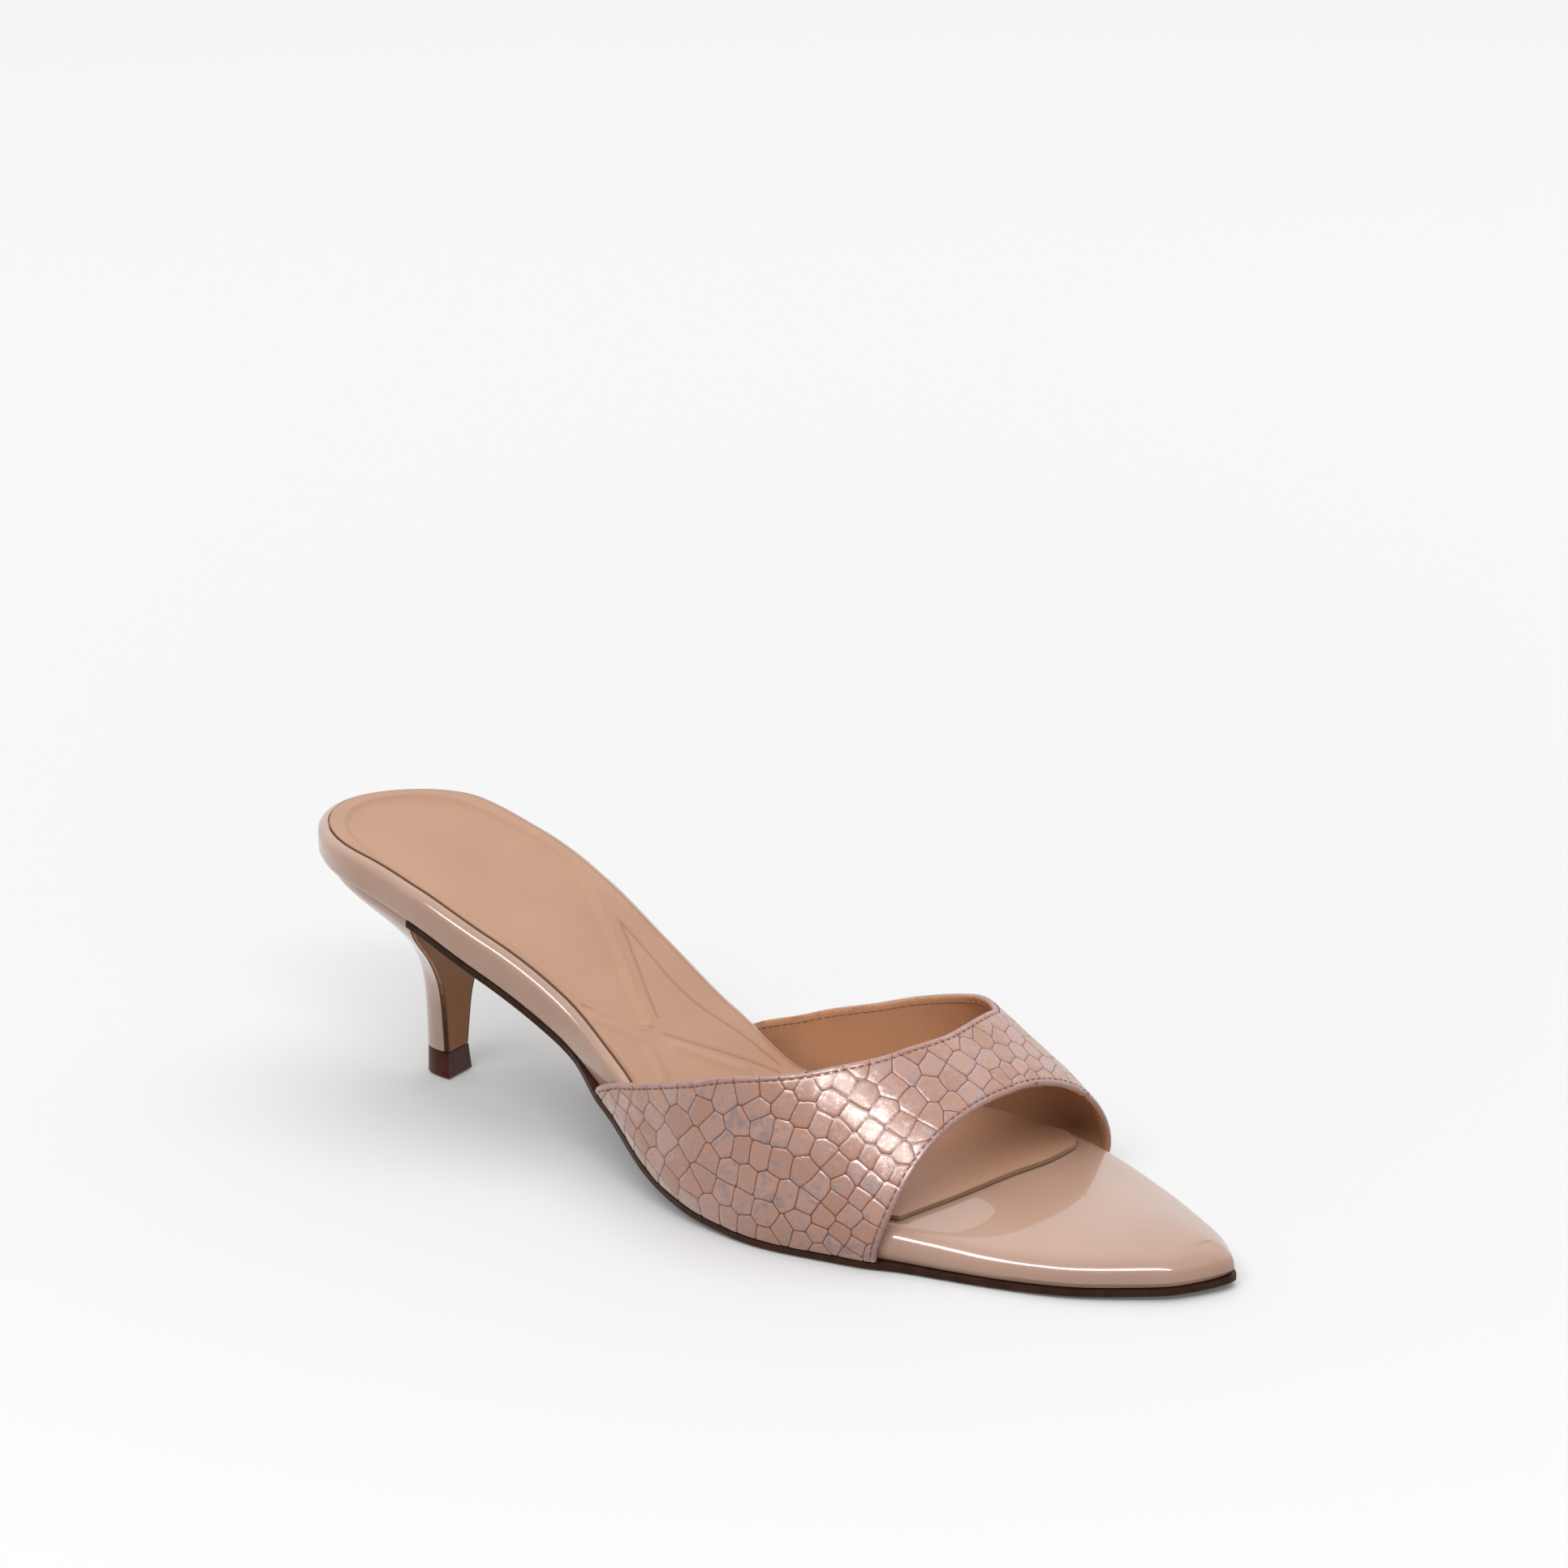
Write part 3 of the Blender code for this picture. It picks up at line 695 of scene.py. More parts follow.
def softenToe(piece):
    # smooth the line where the toe's rounded edge meets its crown
    x, y, z = (getPoints(piece) - lastPlace).T
    inset = footbedRound(x)
    outer, inner = footbedEdges(x, inset)
    gap = np.minimum(np.abs(np.minimum(y - outer, inner - y)), np.abs(shoe["length"] - inset - x))
    upper = z > featherHeight(x) + footbedThickness(x) * footbed["softHeight"]
    start = ease((x / shoe["length"] - footbed["softStart"]) / footbed["softFade"])
    weights = bell(gap, footbed["softReach"]) * start * upper
    group = piece.vertex_groups.new(name="toeRoll")
    for i in np.flatnonzero(weights > footbed["softLeast"]):
        group.add([int(i)], float(weights[i]), "REPLACE")
    applyModifier(piece, "SMOOTH", factor=0.5, iterations=footbed["softRounds"], vertex_group=group.name)


def makeFootbed():
    piece = addGrid("footbedWrap", len(footbedSection()) - 1, footbed["stepsAlong"], placeFootbed)
    closeUp(piece)
    softenToe(piece)
    finishPiece(piece, "patentNude", "patent", "footbed", angle=50)


# Sock
sock = {
    "stepsAlong": 380,
    "stepsAcross": 108,
    "edgeInk": 0.0005,
    "frontInk": 0.0004,
    "padDepth": 0.00080,
    "padSoftness": 0.0011,
    "padRidge": 0.00030,
    "creaseDepth": 0.00030,
    "creaseWidth": 0.00038,
    "ridgeHeight": 0.00050,
    "ridgeWidth": 0.0013,
    "padRidgeWidth": 0.7,
    "fadeReach": 0.0012,
    "evenShare": 0.35,
}

# The heel pad pressed into the sock and the creases in front of it, in mm along and across the last
padOutline = (
    (8, -4), (7.6, 0), (8, 4), (11, 10), (15, 14), (21, 17), (28, 18), (35, 19), (43, 19.5), (50, 20),
    (55.5, 19.4), (60, 17.6), (64, 15), (68, 12), (75, 7.5), (82, 2), (87, -2), (92, -5), (96.4, -7.2),
    (94, -11.4), (91, -13.7), (85.5, -17.6), (75, -18.6), (60, -19.8), (45, -21), (30, -21), (22, -18.6),
    (16, -15), (11, -10.5),
)
sockCreases = (
    ((72.7, 14.4), (82.8, 12.7), (91.5, 10.3), (101, 11.3), (109, 14), (117.6, 15.9)),
    ((72.7, 14.4), (77, 11.5), (82.7, 7), (89, 2), (95.8, -3)),
    ((99.9, -5.7), (104.7, -1.6), (110.3, 4.8), (116, 10.9), (119.4, 13.3)),
    ((94, -22.4), (98.6, -23.3), (102.6, -24.8), (105.9, -25.9)),
    ((85.5, -18.7), (91, -13.7), (94, -11.4), (97.2, -7)),
)
sockRidges = (
    ((89, -19.7), (95.7, -14.9), (98.8, -12.9), (101, -13.5), (104.7, -15.7), (108.6, -18.5)),
    ((103.6, -7), (109.6, -1.4), (115.3, 4.8)),
)

sockFront = table(
    "across along",
    (-1.0, 0.724),
    (-0.5, 0.748),
    (0.0, 0.763),
    (0.5, 0.774),
    (0.8, 0.773),
    (0.92, 0.765),
    (1.0, 0.746),
)


def sockEdges(x):
    return footbedEdges(x, footbedRound(x) + footbed["sockRim"] + shoe["clearance"])


def placeSock(u, v):
    across = 2 * u - 1
    start = footbed["heelRound"] + footbed["sockRim"] + shoe["clearance"]
    end = shoe["length"] * follow(sockFront, "along", across)
    even = sock["evenShare"]
    x = start + (end - start) * (even * v * v * (3 - 2 * v) + (1 - even) * (1 - np.cos(math.pi / 2 * v)))
    outer, inner = sockEdges(x)
    return np.column_stack((x, outer + (inner - outer) * u, sockBed(x, across) + shoe["clearance"]))


def softened(line, closed=False, rounds=3):
    # cut the corners of a line of points, in metres
    line = np.array(line) / 1000
    for _ in range(rounds):
        after = np.roll(line, -1, axis=0) if closed else line[1:]
        before = line if closed else line[:-1]
        cut = np.stack((before * 0.75 + after * 0.25, before * 0.25 + after * 0.75), axis=1).reshape(-1, 2)
        line = cut if closed else np.concatenate((line[:1], cut, line[-1:]))
    return np.concatenate((line, line[:1])) if closed else line


def lineDistance(places, line):
    nearest = np.full(len(places), 1.0)
    for start, end in zip(line[:-1], line[1:]):
        reach = end - start
        share = np.clip((places - start) @ reach / max(reach @ reach, 1e-12), 0.0, 1.0)
        nearest = np.minimum(nearest, np.linalg.norm(places - start - share[:, None] * reach, axis=1))
    return nearest


def insideLine(places, line):
    inside = np.zeros(len(places), bool)
    for (x0, y0), (x1, y1) in zip(line[:-1], line[1:]):
        crosses = (y0 > places[:, 1]) != (y1 > places[:, 1])
        meets = x0 + (x1 - x0) * (places[:, 1] - y0) / (y1 - y0 if y1 != y0 else 1.0)
        inside ^= crosses & (places[:, 0] < meets)
    return inside


def sockRelief(places):
    # how far the sock's face stands up, or is pressed down, at each place, and where it is creased
    outline = softened(padOutline, closed=True)
    outside = lineDistance(places, outline) * np.where(insideLine(places, outline), -1, 1)
    softness = sock["padSoftness"]
    height = -sock["padDepth"] * (1 - ease(outside / (2 * softness) + 0.5))
    height += sock["padRidge"] * bell(outside - softness, sock["padRidgeWidth"] * softness)
    crease = np.zeros(len(places))
    for line in sockCreases:
        crease = np.maximum(crease, bell(lineDistance(places, softened(line)), sock["creaseWidth"]))
    height -= sock["creaseDepth"] * crease
    for line in sockRidges:
        height += sock["ridgeHeight"] * bell(lineDistance(places, softened(line)), sock["ridgeWidth"])
    return height, crease


def makeSock():
    piece = addGrid("sockSheet", sock["stepsAcross"], sock["stepsAlong"], placeSock)
    closeUp(piece)
    faceUp(piece, (0, 0, 1))
    applyModifier(piece, "SOLIDIFY", thickness=shoe["sockThickness"], offset=1.0, use_even_offset=False)
    closeUp(piece)
    points = getPoints(piece) - lastPlace
    x, y, z = points.T
    outer, inner = sockEdges(x)
    across = np.clip((y - outer) / np.maximum(inner - outer, 0.0001) * 2 - 1, -1, 1)
    room = np.minimum(y - outer, inner - y)
    frontRoom = shoe["length"] * follow(sockFront, "along", across) - x
    upper = ease((z - sockBed(x, across) - shoe["clearance"]) / shoe["sockThickness"])
    fade = ease(np.minimum(room, frontRoom) / sock["fadeReach"]) * upper
    height, crease = sockRelief(points[:, :2])
    points[:, 2] += height * fade
    setPoints(piece, points + lastPlace)
    addAttribute(piece, "edgeInk", 1 - ease(room / sock["edgeInk"]))
    addAttribute(piece, "frontInk", 1 - ease(frontRoom / sock["frontInk"]))
    # the crease mask also darkens the sock's colour there, as painted shade
    addAttribute(piece, "crease", crease * fade)
    finishPiece(piece, "sockLeather", "sock", "sock", angle=50)


# Strap: its outer leather with scales, its lining and its stitches
strap = {
    "swell": 0.0014,
    "swellHeight": 0.0070,
    "start": 0.0935,
    "end": 0.1965,
    "arcReach": (0.088, 0.2005, 0.001),
    "arcSteps": 321,
    "edgeSteps": 1600,
    "instepHeight": 0.0437,
    "toeOpeningHeight": 0.0321,
    "spacing": 0.00028,
    "mergeReach": 0.00002,
    "lowBand": 0.045,
    "topBand": 0.030,
    "liningSpacing": 0.0010,
    "leather": 0.0008,
    "liningGap": 0.00002,
    "grooveDepth": 0.00014,
    "grooveWidth": 0.00018,
    "pillow": 0.00004,
    "pillowWidth": 0.00035,
    "scaleTilt": 0.026,
    "tiltSpread": 0.6,
    "cornerRound": 0.00022,
    "wander": 0.00028,
    "wanderScale": 330.0,
    "seed": 7,
    "neighbours": 5,
    "foldRadius": 0.00055,
    "foldSoftness": 0.0003,
    "foldCover": 0.7,
    "backBand": 0.0005,
    "frontBand": 0.0008,
    "seamWidth": 0.00028,
    "liningSeamWidth": 0.0004,
    "seamDepth": 0.0001,
    "seamCover": 0.6,
    "hiddenFaces": 0.08,
    "stitchInset": 0.0013,
    "stitchSteps": 2400,
    "stitchPitch": 0.0020,
    "stitchLength": 0.0016,
    "threadRadius": 0.00020,
    "threadRound": 0.6,
    "threadDip": 1.2,
    "threadDepth": 0.00008,
}

strapEdges = table(
    "around back front",
    (-1.00, 0.383, 0.718),
    (-0.98, 0.404, 0.719),
    (-0.87, 0.475, 0.725),
    (-0.75, 0.538, 0.731),
    (-0.50, 0.636, 0.741),
    (-0.25, 0.683, 0.752),
    (0.00, 0.700, 0.762),
    (0.25, 0.693, 0.772),
    (0.50, 0.647, 0.779),
    (0.75, 0.559, 0.781),
    (0.87, 0.493, 0.780),
    (0.98, 0.421, 0.777),
    (1.00, 0.402, 0.776),
)

arch = table(
    "along shoulder crown lean",
    (0.36, 2.42, 2.95, 0.044),
    (0.50, 2.40, 2.60, 0.041),
    (0.70, 2.34, 2.10, 0.036),
    (0.78, 2.30, 1.92, 0.034),
)

# Middles of the scales on the outer side, in mm along the shoe and up from the sole over the arch
scaleMiddles = (
    (102, 4), (105.5, 1), (109.5, 1.5), (113.5, 1.5), (118, 1.5), (123, 0.5), (124.5, 4), (131, 2.5),
    (137.5, 3.5), (143, 3.5), (148, 2.5), (153, 1.5), (157.5, 4), (162, 2.5), (166, 5), (166.5, 0.5),
    (169.5, 3), (173.5, 0.5), (175.5, 3.5), (179, 2), (99.5, 5.5), (104, 9), (106.5, 5), (110.5, 6),
    (114.5, 6.5), (119.5, 5.5), (132, 7), (142, 9), (146.5, 8.5), (153, 7), (162, 7.5), (167, 9), (171.5, 6),
    (177, 7), (107.5, 10), (108, 13), (112.5, 11), (117, 10.5), (123, 13), (127, 10), (135.5, 10.5),
    (143, 14.5), (147.5, 14.5), (153, 14), (158, 12.5), (163, 11.5), (169.5, 13), (173, 10.5), (175, 15),
    (178.5, 12.5), (113.5, 15.5), (118.5, 15.5), (127, 20), (132, 16.5), (136.5, 15), (161.5, 19), (165, 16),
    (171, 17), (176.5, 18.5), (180.5, 16.5), (120.5, 21.5), (137.5, 23), (141, 20.5), (145.5, 20.5),
    (150.5, 20.5), (155.5, 20), (165, 24), (168.5, 21.5), (173, 20.5), (174.5, 24.5), (178.5, 22.5),
    (182, 21.5), (123.5, 25.5), (129, 27), (133.5, 26), (144, 26.5), (150.5, 27), (155, 26.5), (159.5, 25.5),
    (167, 29), (171, 26), (173.5, 30), (177.5, 28), (181, 26), (184.5, 29), (134, 31.5), (139.5, 31),
    (145.5, 34), (148, 31), (154.5, 33), (159, 31.5), (163, 30), (164, 35), (169, 32.5), (178.5, 33),
    (183, 31.5), (150.5, 36), (154.5, 39.5), (158, 37.5), (169.5, 38), (174.5, 35.5), (178.5, 39), (183, 37),
    (186.5, 38), (161, 41), (164.5, 40.5), (166, 45), (173.5, 42), (180, 44), (185, 41.5), (169.5, 45.5),
    (174, 47), (181.5, 49), (186, 46.5), (173.5, 52.5), (177, 51), (185, 53.5), (188, 52), (176, 57),
    (180.5, 55.5), (187, 57), (189.5, 59.5), (176, 61), (179, 62.5), (183, 61), (187, 61), (190, 63.5),
    (176, 67.5), (178.5, 68), (183.5, 67), (187, 65), (190.5, 68), (176.5, 74), (180, 73.5), (184, 71.5),
    (187.5, 70), (188, 75), (190.5, 74), (177, 79.5), (180.5, 78), (184.5, 76.5),
)


def strapEdge(name, around):
    return shoe["length"] * follow(strapEdges, name, around)


def ridgeHeight(x):
    back, front = strapEdge("back", 0.0), strapEdge("front", 0.0)
    fall = strap["toeOpeningHeight"] - strap["instepHeight"]
    return strap["instepHeight"] + fall * (x - back) / (front - back)


def archPoint(x, around):
    along = x / shoe["length"]
    shoulder = follow(arch, "shoulder", along)
    crown = follow(arch, "crown", along)
    lean = shoe["ballWidth"] * follow(arch, "lean", along)
    room = shoe["strapWall"] + shoe["clearance"] + shoe["sideRoom"]
    turn = around * math.pi / 2
    upward = np.maximum(0.0, np.cos(turn)) ** (2 / crown)
    foot = outsoleTop(x) + shoe["clearance"]
    z = foot + (ridgeHeight(x) - foot) * upward
    rise = np.minimum(1.0, (z - foot) / strap["swellHeight"])
    swell = strap["swell"] * rise * (2 - rise)
    outer = halfWidth("outer", x) + room + swell
    inner = halfWidth("inner", x) + room + swell
    sideways = np.sign(turn) * np.abs(np.sin(turn)) ** (2 / shoulder)
    y = (inner - outer) / 2 + (inner + outer) / 2 * sideways + lean * upward
    return np.column_stack((x, y, z))


class ArcLengths:
    # how far round the arch each share lies, from the sole on either side
    def __init__(self):
        self.x = np.arange(*strap["arcReach"])
        self.around = np.linspace(-1, 1, strap["arcSteps"])
        grid = archPoint(np.repeat(self.x, strap["arcSteps"]), np.tile(self.around, len(self.x)))
        steps = np.linalg.norm(np.diff(grid.reshape(len(self.x), -1, 3), axis=1), axis=2)
        self.up = np.concatenate((np.zeros((len(self.x), 1)), np.cumsum(steps, axis=1)), axis=1)
        self.whole = self.up[:, -1]

    def aroundAt(self, x, distance):
        # the share at each x and distance up from the outer side, or down to the inner side where negative
        place = (x - self.x[0]) / (self.x[1] - self.x[0])
        low = np.clip(np.floor(place).astype(int), 0, len(self.x) - 2)
        blend = np.clip(place - low, 0.0, 1.0)
        found = []
        for row in (low, low + 1):
            value = np.empty(len(x))
            for i in np.unique(row):
                here = row == i
                target = distance[here]
                target = np.where(target < 0, self.whole[i] + target, target)
                value[here] = np.interp(target, self.up[i], self.around)
            found.append(value)
        return found[0] * (1 - blend) + found[1] * blend


arcs = ArcLengths()


def strapShare(x, lift):
    # lift runs from the outer side's foot over the arch to the inner side's, with its top stretched to fit
    low, top = strap["lowBand"], strap["topBand"]
    whole = 2 * low + top
    full = np.full_like(x, low)
    outerEnd, innerEnd = arcs.aroundAt(x, full), arcs.aroundAt(x, -full)
    outerPart = arcs.aroundAt(x, np.clip(lift, 0.00001, low))
    innerPart = arcs.aroundAt(x, -np.clip(whole - lift, 0.00001, low))
    share = np.clip((lift - low) / top, 0.0, 1.0)
    middle = outerEnd + (innerEnd - outerEnd) * share
    around = np.where(lift < low, outerPart, np.where(lift > low + top, innerPart, middle))
    return np.where(lift <= 0, -1.0, np.where(lift >= whole, 1.0, around))


def strapSheet(name, spacing):
    # a grid over the unrolled strap, cut to its outline and laid over the arch
    start, end = strap["start"], strap["end"]
    whole = 2 * strap["lowBand"] + strap["topBand"]
    across, along = round((end - start) / spacing), round((whole + 2 * spacing) / spacing)
    store = {}

    def place(u, v):
        x = start + (end - start) * u
        around = strapShare(x, (whole + 2 * spacing) * v - spacing)
        back, front = strapEdge("back", around), strapEdge("front", around)
        store["outside"] = (x < back) | (x > front)
        return archPoint(np.clip(x, back, front), around)

    piece = addGrid(name, across, along, place)
    corners = np.empty(len(piece.data.polygons) * 4, int)
    piece.data.polygons.foreach_get("vertices", corners)
    selectFaces(piece, store["outside"][corners.reshape(-1, 4)].all(axis=1))
    bpy.ops.mesh.delete(type="FACE")
    endEdit()
    startEdit(piece, "VERT", "SELECT")
    bpy.ops.mesh.remove_doubles(threshold=strap["mergeReach"])
    bpy.ops.mesh.delete_loose()
    endEdit()
    faceUp(piece, (0, 0, 1))
    return piece


def edgeLine(name, count):
    around = np.linspace(-1, 1, count)
    return strapEdge(name, around), around


def edgeDistance(points, name):
    # how far each point lies from the strap's back or front edge
    tree = makeTree(archPoint(*edgeLine(name, strap["edgeSteps"])))
    return np.array([tree.find(point)[2] for point in points])


def edgeCurl(edge):
    # the drop of a rounded edge
    radius = strap["foldRadius"]
    return radius - np.sqrt(np.maximum(0.0, radius * radius - np.maximum(0.0, radius - edge) ** 2))


# How the outer side's layout is stretched along the inner side, and the part of it used there
innerScales = {
    "start": 0.1005,
    "outerStart": 0.0958,
    "stretch": 1.117,
    "reach": (0.090, 0.198),
    "height": 0.046,
    "apart": 0.0036,
}


def scaleSeats():
    # the middles on the outer side, and the same layout turned over for the inner side
    outer = np.array(scaleMiddles) / 1000
    outerSeats = archPoint(outer[:, 0], arcs.aroundAt(outer[:, 0], outer[:, 1]))
    x = innerScales["start"] + (outer[:, 0] - innerScales["outerStart"]) * innerScales["stretch"]
    back, front = innerScales["reach"]
    used = (x > back) & (x < front) & (outer[:, 1] < innerScales["height"])
    seats = archPoint(x[used], arcs.aroundAt(x[used], -outer[used, 1]))
    keep = [seat for seat in seats if np.linalg.norm(outerSeats - seat, axis=1).min() > innerScales["apart"]]
    return np.concatenate((outerSeats, np.array(keep)))


def scaleRelief(points):
    # distance to the nearest groove with rounded corners, each scale's own tone and its slight tilt
    seats = scaleSeats()
    tree = makeTree(seats)
    random = np.random.default_rng(strap["seed"])
    tones = random.random(len(seats))
    spread = random.normal(size=(len(seats), 3)) * strap["tiltSpread"]
    tilts = [Vector(row) * strap["scaleTilt"] for row in spread]
    distance, side, tone, tilt = np.empty((4, len(points)))
    rounding = strap["cornerRound"]
    for i, point in enumerate(points):
        shake = noise.noise_vector(Vector(point) * strap["wanderScale"]) * strap["wander"]
        place = Vector(point) + shake
        near = tree.find_n(place, strap["neighbours"])
        first, firstIndex, firstFar = near[0]
        total = 0.0
        for seat, index, far in near[1:]:
            apart = (seat - first).length
            total += math.exp(-(far * far - firstFar * firstFar) / (2 * apart) / rounding)
        distance[i] = -rounding * math.log(max(total, 1e-9))
        # the second nearest tells on which side of their groove the point lies
        seat, index, far = near[1]
        gap = (far * far - firstFar * firstFar) / (2 * (seat - first).length)
        side[i] = gap if firstIndex < index else -gap
        tone[i] = tones[firstIndex]
        tilt[i] = (Vector(point) - first).dot(tilts[firstIndex])
    return np.maximum(distance, 0.0), side, tone, tilt


def makeStrapLeather():
    piece = strapSheet("strapScales", strap["spacing"])
    count = len(piece.data.vertices)
    normals = readVertices(piece, "normal")
    applyModifier(piece, "SOLIDIFY", thickness=strap["leather"], offset=-1.0, use_even_offset=False)
    points = getPoints(piece)
    base = points[:count] - lastPlace
    back, front = edgeDistance(base, "back"), edgeDistance(base, "front")
    edge = np.minimum(back, front)
    distance, side, tone, tilt = scaleRelief(base)
    band = np.minimum(back - strap["backBand"], front - strap["frontBand"])
    fold = 1 - ease(band / strap["foldSoftness"] + 0.5)
    dome = 1 - np.exp(-distance / strap["pillowWidth"])
    row = bell(edge - strap["stitchInset"], strap["seamWidth"])
    groove = strap["grooveDepth"] * bell(distance, strap["grooveWidth"]) * (1 - strap["foldCover"] * fold)
    lift = (strap["pillow"] + tilt) * dome * (1 - fold) - groove
    lift = lift * (1 - strap["seamCover"] * row) - strap["seamDepth"] * row - edgeCurl(edge)
    points[:count] += normals * lift[:, None]
    setPoints(piece, points)
    whole = np.zeros(len(points))
    attributes = {"room": distance * 1000, "side": side * 1000, "tone": tone, "fold": fold, "seam": row}
    for name, values in attributes.items():
        whole[:count] = values
        whole[count:] = 0.0 if name == "seam" else 1.0
        addAttribute(piece, name, whole)
    # the hidden side needs few faces
    selectFaces(piece, [all(i >= count for i in polygon.vertices) for polygon in piece.data.polygons])
    bpy.ops.mesh.select_less()
    bpy.ops.mesh.decimate(ratio=strap["hiddenFaces"])
    endEdit()
    finishPiece(piece, "scaledLeather", "strap", "strap", angle=80)


def makeStrapLining():
    piece = strapSheet("strapLining", strap["liningSpacing"])
    count = len(piece.data.vertices)
    base, normals = getPoints(piece), readVertices(piece, "normal")
    gap = strap["leather"] + strap["liningGap"]
    setPoints(piece, base - normals * gap)
    applyModifier(piece, "SOLIDIFY", thickness=shoe["strapWall"] - gap, offset=-1.0, use_even_offset=False)
    points = getPoints(piece)
    edge = np.minimum(edgeDistance(base - lastPlace, "back"), edgeDistance(base - lastPlace, "front"))
    row = bell(edge - strap["stitchInset"], strap["liningSeamWidth"])
    points[count:] += normals * (edgeCurl(edge) + strap["seamDepth"] * row)[:, None]
    setPoints(piece, points)
    finishPiece(piece, "liningTan", "strap", "strap", angle=60)


def stitchSeats(name):
    # places along one edge of the strap, a little in from it, with their directions
    x, around = edgeLine(name, strap["stitchSteps"])
    line = archPoint(x, around)
    step = 0.0005
    alongX = (archPoint(x + step, around) - line) / step
    alongTurn = (archPoint(x, np.clip(around + step, -1, 1)) - line) / step
    alongTurn[-1] = alongTurn[-2]
    tangent = np.gradient(line, axis=0)
    tangent /= np.linalg.norm(tangent, axis=1)[:, None]
    normal = np.cross(alongX, alongTurn)
    normal /= np.linalg.norm(normal, axis=1)[:, None]
    # away from a place under the arch
    normal *= np.sign((normal * (line - [0.165, 0, 0.01])).sum(axis=1))[:, None]
    inward = np.cross(normal, tangent)
    inward *= np.sign(inward[:, :1] * (1 if name == "back" else -1))
    row = line + inward * strap["stitchInset"]
    travel = np.concatenate(([0], np.cumsum(np.linalg.norm(np.diff(row, axis=0), axis=1))))
    pitch = strap["stitchPitch"]
    pick = np.searchsorted(travel, np.arange(pitch, travel[-1] - pitch, pitch))
    return row[pick], tangent[pick], normal[pick]


def makeStitches(name, depth, threadName):
    # one stitch, a short thread that dips at its ends, copied along both edges
    length, radius = strap["stitchLength"], strap["threadRadius"]
    model = addObject(bpy.ops.mesh.primitive_uv_sphere_add, "stitch", segments=6, ring_count=6, radius=1.0)
    shape = getPoints(model)
    # the ball is drawn out into a round-ended thread
    shape[:, 2] = np.sign(shape[:, 2]) * np.abs(shape[:, 2]) ** strap["threadRound"] * length / 2
    shape[:, :2] *= radius
    sides = [tuple(polygon.vertices) for polygon in model.data.polygons]
    bpy.data.objects.remove(model, do_unlink=True)
    dip = 1 - (2 * shape[:, 2] / length) ** 4
    upward = shape[:, 1] - radius * strap["threadDip"] * (1 - dip)
    points, faces = [], []
    for edgeName in ("back", "front"):
        for seat, tangent, normal in zip(*stitchSeats(edgeName)):
            aside = np.cross(normal, tangent)
            faces += [tuple(i + len(points) * len(shape) for i in side) for side in sides]
            place = seat - normal * depth
            points.append(place + shape[:, 2:3] * tangent + shape[:, 0:1] * aside + upward[:, None] * normal)
    mesh = bpy.data.meshes.new(name)
    mesh.from_pydata((np.concatenate(points) + lastPlace).tolist(), [], faces)
    piece = bpy.data.objects.new(name, mesh)
    bpy.context.scene.collection.objects.link(piece)
    closeUp(piece)
    finishPiece(piece, threadName, "strap", "strap", angle=60)


# Heel, its facing and its top piece
heel = {
    "breastFoot": 0.0339,
    "stemWidth": 0.0080,
    "stemDepth": 0.0069,
    "seatInset": 0.0014,
    "stemPower": 0.85,
    "topPieceHeight": 0.0065,
    "topPieceFlare": 0.0005,
    "topPieceBevel": 0.0003,
    "waistHeight": 0.4,
    "waistFlare": 0.6,
    "facingThickness": 0.0010,
    "facingInset": 0.0002,
    "roundShare": 0.8,
    "middle": 0.025,
    "stepsAround": 90,
    "stepsUp": 90,
    "facingSteps": (16, 70),
    "topPieceSteps": 24,
    "inkLevels": 60,
    "inkBand": 0.0008,
    "edgeInk": 0.0007,
}

heelSpread = table(
    "height side back",
    (0.00, 0.000, 0.000),
    (0.14, 0.030, 0.000),
    (0.29, 0.070, 0.005),
    (0.43, 0.150, 0.025),
    (0.56, 0.310, 0.080),
    (0.65, 0.460, 0.165),
    (0.73, 0.630, 0.310),
    (0.80, 0.780, 0.500),
    (0.87, 0.910, 0.730),
    (0.94, 0.985, 0.920),
    (1.00, 1.000, 1.000),
)


def stemPoint(turn, grow=0.0, reach=0.0):
    power = heel["stemPower"]
    back = (heel["stemDepth"] + reach) * np.maximum(0.0, np.cos(turn)) ** power
    side = (heel["stemWidth"] / 2 + grow) * np.sign(turn) * np.abs(np.sin(turn)) ** power
    return heel["breastFoot"] + reach - back, side


def heelPoint(turn, height):
    stemX, stemY = stemPoint(turn)
    seatX = heel["seatInset"] + (outsole["breastTop"] - heel["seatInset"]) * (1 - np.cos(turn))
    inset = heel["seatInset"] + footbed["undercut"]
    seatY = np.where(turn < 0, -halfWidth("outer", seatX, inset), halfWidth("inner", seatX, inset))
    backward = (outsole["breastTop"] - seatX) / outsole["breastTop"]
    side = follow(heelSpread, "side", height)
    back = follow(heelSpread, "back", height)
    spread = side + (back - side) * backward
    foot = heel["topPieceHeight"] + shoe["clearance"]
    top = featherHeight(seatX) - shoe["clearance"]
    x = stemX + (seatX - stemX) * spread
    y = stemY + (seatY - stemY) * spread
    return np.column_stack((x, y, foot + (top - foot) * height))


def heelTurn(u):
    # round the back for most of the way, then across the flat front
    share = heel["roundShare"]
    return math.pi * (np.clip(u / share, 0.0, 1.0) - 0.5), np.clip((u - share) / (1 - share), 0.0, 1.0)


def placeHeel(u, v):
    turn, across = heelTurn(u)
    first = heelPoint(np.full_like(u, -math.pi / 2), v)
    last = heelPoint(np.full_like(u, math.pi / 2), v)
    flat = last + (first - last) * across[:, None]
    return np.where((u > heel["roundShare"])[:, None], flat, heelPoint(turn, v))


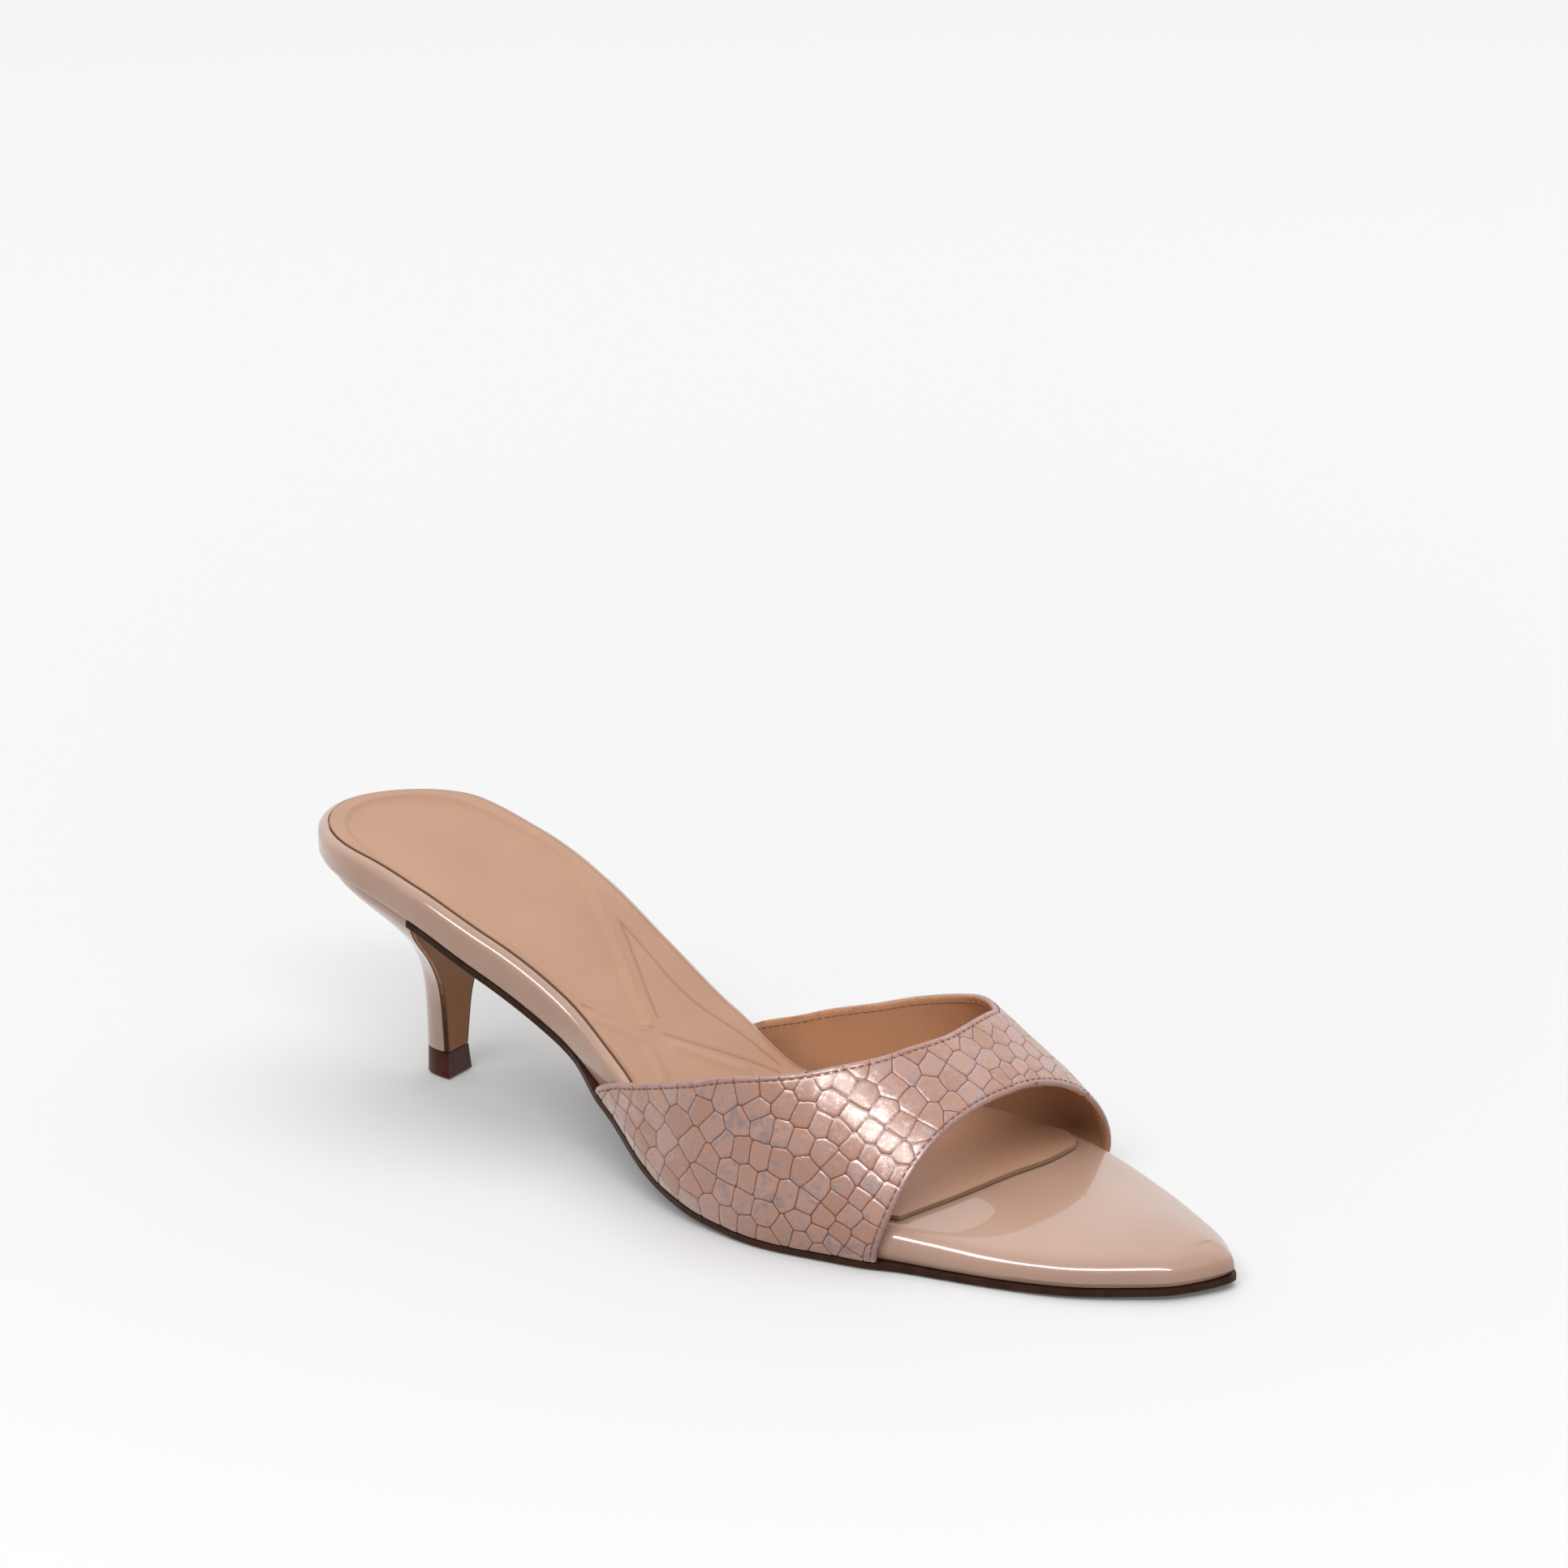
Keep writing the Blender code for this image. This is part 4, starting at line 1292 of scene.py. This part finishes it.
def makeHeel():
    piece = addGrid("heelBlock", heel["stepsAround"], heel["stepsUp"], placeHeel)
    closeUp(piece, -1, heel["middle"], 1)
    finishPiece(piece, "patentNude", "patent", "heel", angle=40)


def makeFacing():
    full = featherHeight(np.array([outsole["breastTop"]]))[0] - 2 * shoe["clearance"] - heel["topPieceHeight"]
    under = treadHeight(np.array([outsole["breastTop"] + shoe["clearance"] + heel["facingThickness"]]))[0]
    topShare = (under - 2 * shoe["clearance"] - heel["topPieceHeight"]) / full

    def place(u, v):
        outer = heelPoint(np.full_like(u, -math.pi / 2), v * topShare)
        inner = heelPoint(np.full_like(u, math.pi / 2), v * topShare)
        inset = heel["facingInset"]
        y = outer[:, 1] + inset + (inner[:, 1] - outer[:, 1] - 2 * inset) * u
        return np.column_stack((outer[:, 0] + shoe["clearance"], y, outer[:, 2]))

    piece = addGrid("breastFacing", *heel["facingSteps"], place)
    faceUp(piece, (1, 0, 0))
    applyModifier(piece, "SOLIDIFY", thickness=heel["facingThickness"], offset=1.0)
    points = getPoints(piece) - lastPlace
    z = points[:, 2]
    levels = np.linspace(z.min(), z.max(), heel["inkLevels"])
    near = [np.abs(z - level) < heel["inkBand"] for level in levels]
    reach = np.array([np.abs(points[here][:, 1]).max() for here in near])
    room = np.interp(z, levels, reach) - np.abs(points[:, 1])
    addAttribute(piece, "edgeInk", 1 - ease(room / heel["edgeInk"]))
    finishPiece(piece, "breastTan", "breast", "breast_cover", angle=40)


def makeTopPiece():
    facing = heel["facingThickness"] + shoe["clearance"]
    levels = table(
        "grow height",
        (heel["topPieceFlare"] - heel["topPieceBevel"], 0.0),
        (heel["topPieceFlare"], heel["topPieceBevel"]),
        (heel["topPieceFlare"] * heel["waistFlare"], heel["topPieceHeight"] * heel["waistHeight"]),
        (0.0, heel["topPieceHeight"]),
    )
    count = len(levels["grow"])

    def place(u, v):
        grow = np.interp(v * (count - 1), np.arange(count), levels["grow"])
        z = np.interp(v * (count - 1), np.arange(count), levels["height"])
        turn, across = heelTurn(u)
        x, y = stemPoint(turn, grow, facing + grow)
        return np.column_stack((x, y * (1 - 2 * across), z))

    piece = addGrid("topPiece", heel["stepsAround"], heel["topPieceSteps"], place)
    closeUp(piece, -1, heel["topPieceHeight"] / 2, 1)
    finishPiece(piece, "tipBrown", "tip", "top_piece", angle=30)


makeOutsole()
makeFootbed()
makeSock()
makeHeel()
makeFacing()
makeTopPiece()
makeStrapLining()
makeStrapLeather()
makeStitches("stitchesOutside", strap["threadDepth"], "threadRose")
makeStitches("stitchesInside", shoe["strapWall"] + strap["seamDepth"], "threadTan")


# Floor, light and camera
studio = {
    "floorSize": 24.0,
    "floorDrop": -0.0002,
    "floorColour": (0.62, 0.62, 0.62),
    "floorGlow": 0.26,
    "glowReach": (-0.8, 1.2),
    "roomLight": (0.14, 0.78),
    "roomReach": (-0.5, 0.7),
    "farSide": (-0.559, 0.829, 0.0),
    "aim": (0.0, 0.0, 0.03),
}

# Power, size and place of each light, and whether it is seen in reflections
lights = {
    "frontLight": (46.0, (2.6, 0.55), (0.60, -1.58, 1.98), True),
    "backLight": (44.0, (2.8, 2.8), (0.00, 0.45, 2.60), False),
}


def makeLights():
    for name, (power, size, place, mirrored) in lights.items():
        light = addObject(bpy.ops.object.light_add, name, type="AREA", location=place)
        light.data.energy = power
        light.data.shape = "RECTANGLE"
        light.data.size, light.data.size_y = size
        light.rotation_euler = (Vector(studio["aim"]) - Vector(place)).to_track_quat("-Z", "Y").to_euler()
        light.visible_glossy = mirrored


def makeWorld():
    # a pale room, brighter on the far side of the shoe than behind the camera
    shade = Shade(bpy.data.worlds.new("studioWorld"), "Background")
    towards = {0: shade.node("ShaderNodeTexCoord", None, None, "Generated"), 1: studio["farSide"]}
    far = shade.node("ShaderNodeVectorMath", {"operation": "DOT_PRODUCT"}, towards, "Value")
    strength = far.ramp(*studio["roomReach"], *studio["roomLight"])
    bpy.context.scene.world = shade.surface({"Color": (1.0, 1.0, 1.0), "Strength": strength})


def makeStudio():
    place = (0, 0, studio["floorDrop"])
    floor = addObject(bpy.ops.mesh.primitive_plane_add, "floor", size=studio["floorSize"], location=place)
    bpy.ops.object.transform_apply(location=True, rotation=True, scale=True)
    shade = Shade(bpy.data.materials.new("floorPaint"))
    away = shade.node("ShaderNodeVectorMath", {"operation": "LENGTH"}, {0: shade.places()}, "Value")
    floorPaint = shade.surface({
        "Base Color": studio["floorColour"],
        "Roughness": 0.95,
        "Specular IOR Level": 0.1,
        "Emission Color": shade.mix(away.ramp(*studio["glowReach"]), (0.0, 0.0, 0.0), (1.0, 1.0, 1.0)),
        "Emission Strength": studio["floorGlow"],
    })
    floor.data.materials.append(floorPaint)
    floor.visible_glossy = False
    makeLights()
    makeWorld()
    bpy.context.scene.view_settings.view_transform = "Standard"


# The photograph's view
view = {
    "eye": (0.77135, -1.13418, 0.60995),
    "turn": (69.37, 0.0, 34.05),
    "lens": 148.0,
    "sensor": 36.0,
    "nearest": 0.05,
}


def makeCamera():
    turn = [math.radians(angle) for angle in view["turn"]]
    camera = addObject(bpy.ops.object.camera_add, "Camera", location=view["eye"], rotation=turn)
    camera.data.lens = view["lens"]
    camera.data.sensor_width = view["sensor"]
    camera.data.clip_start = view["nearest"]
    bpy.context.scene.camera = camera


makeStudio()
makeCamera()
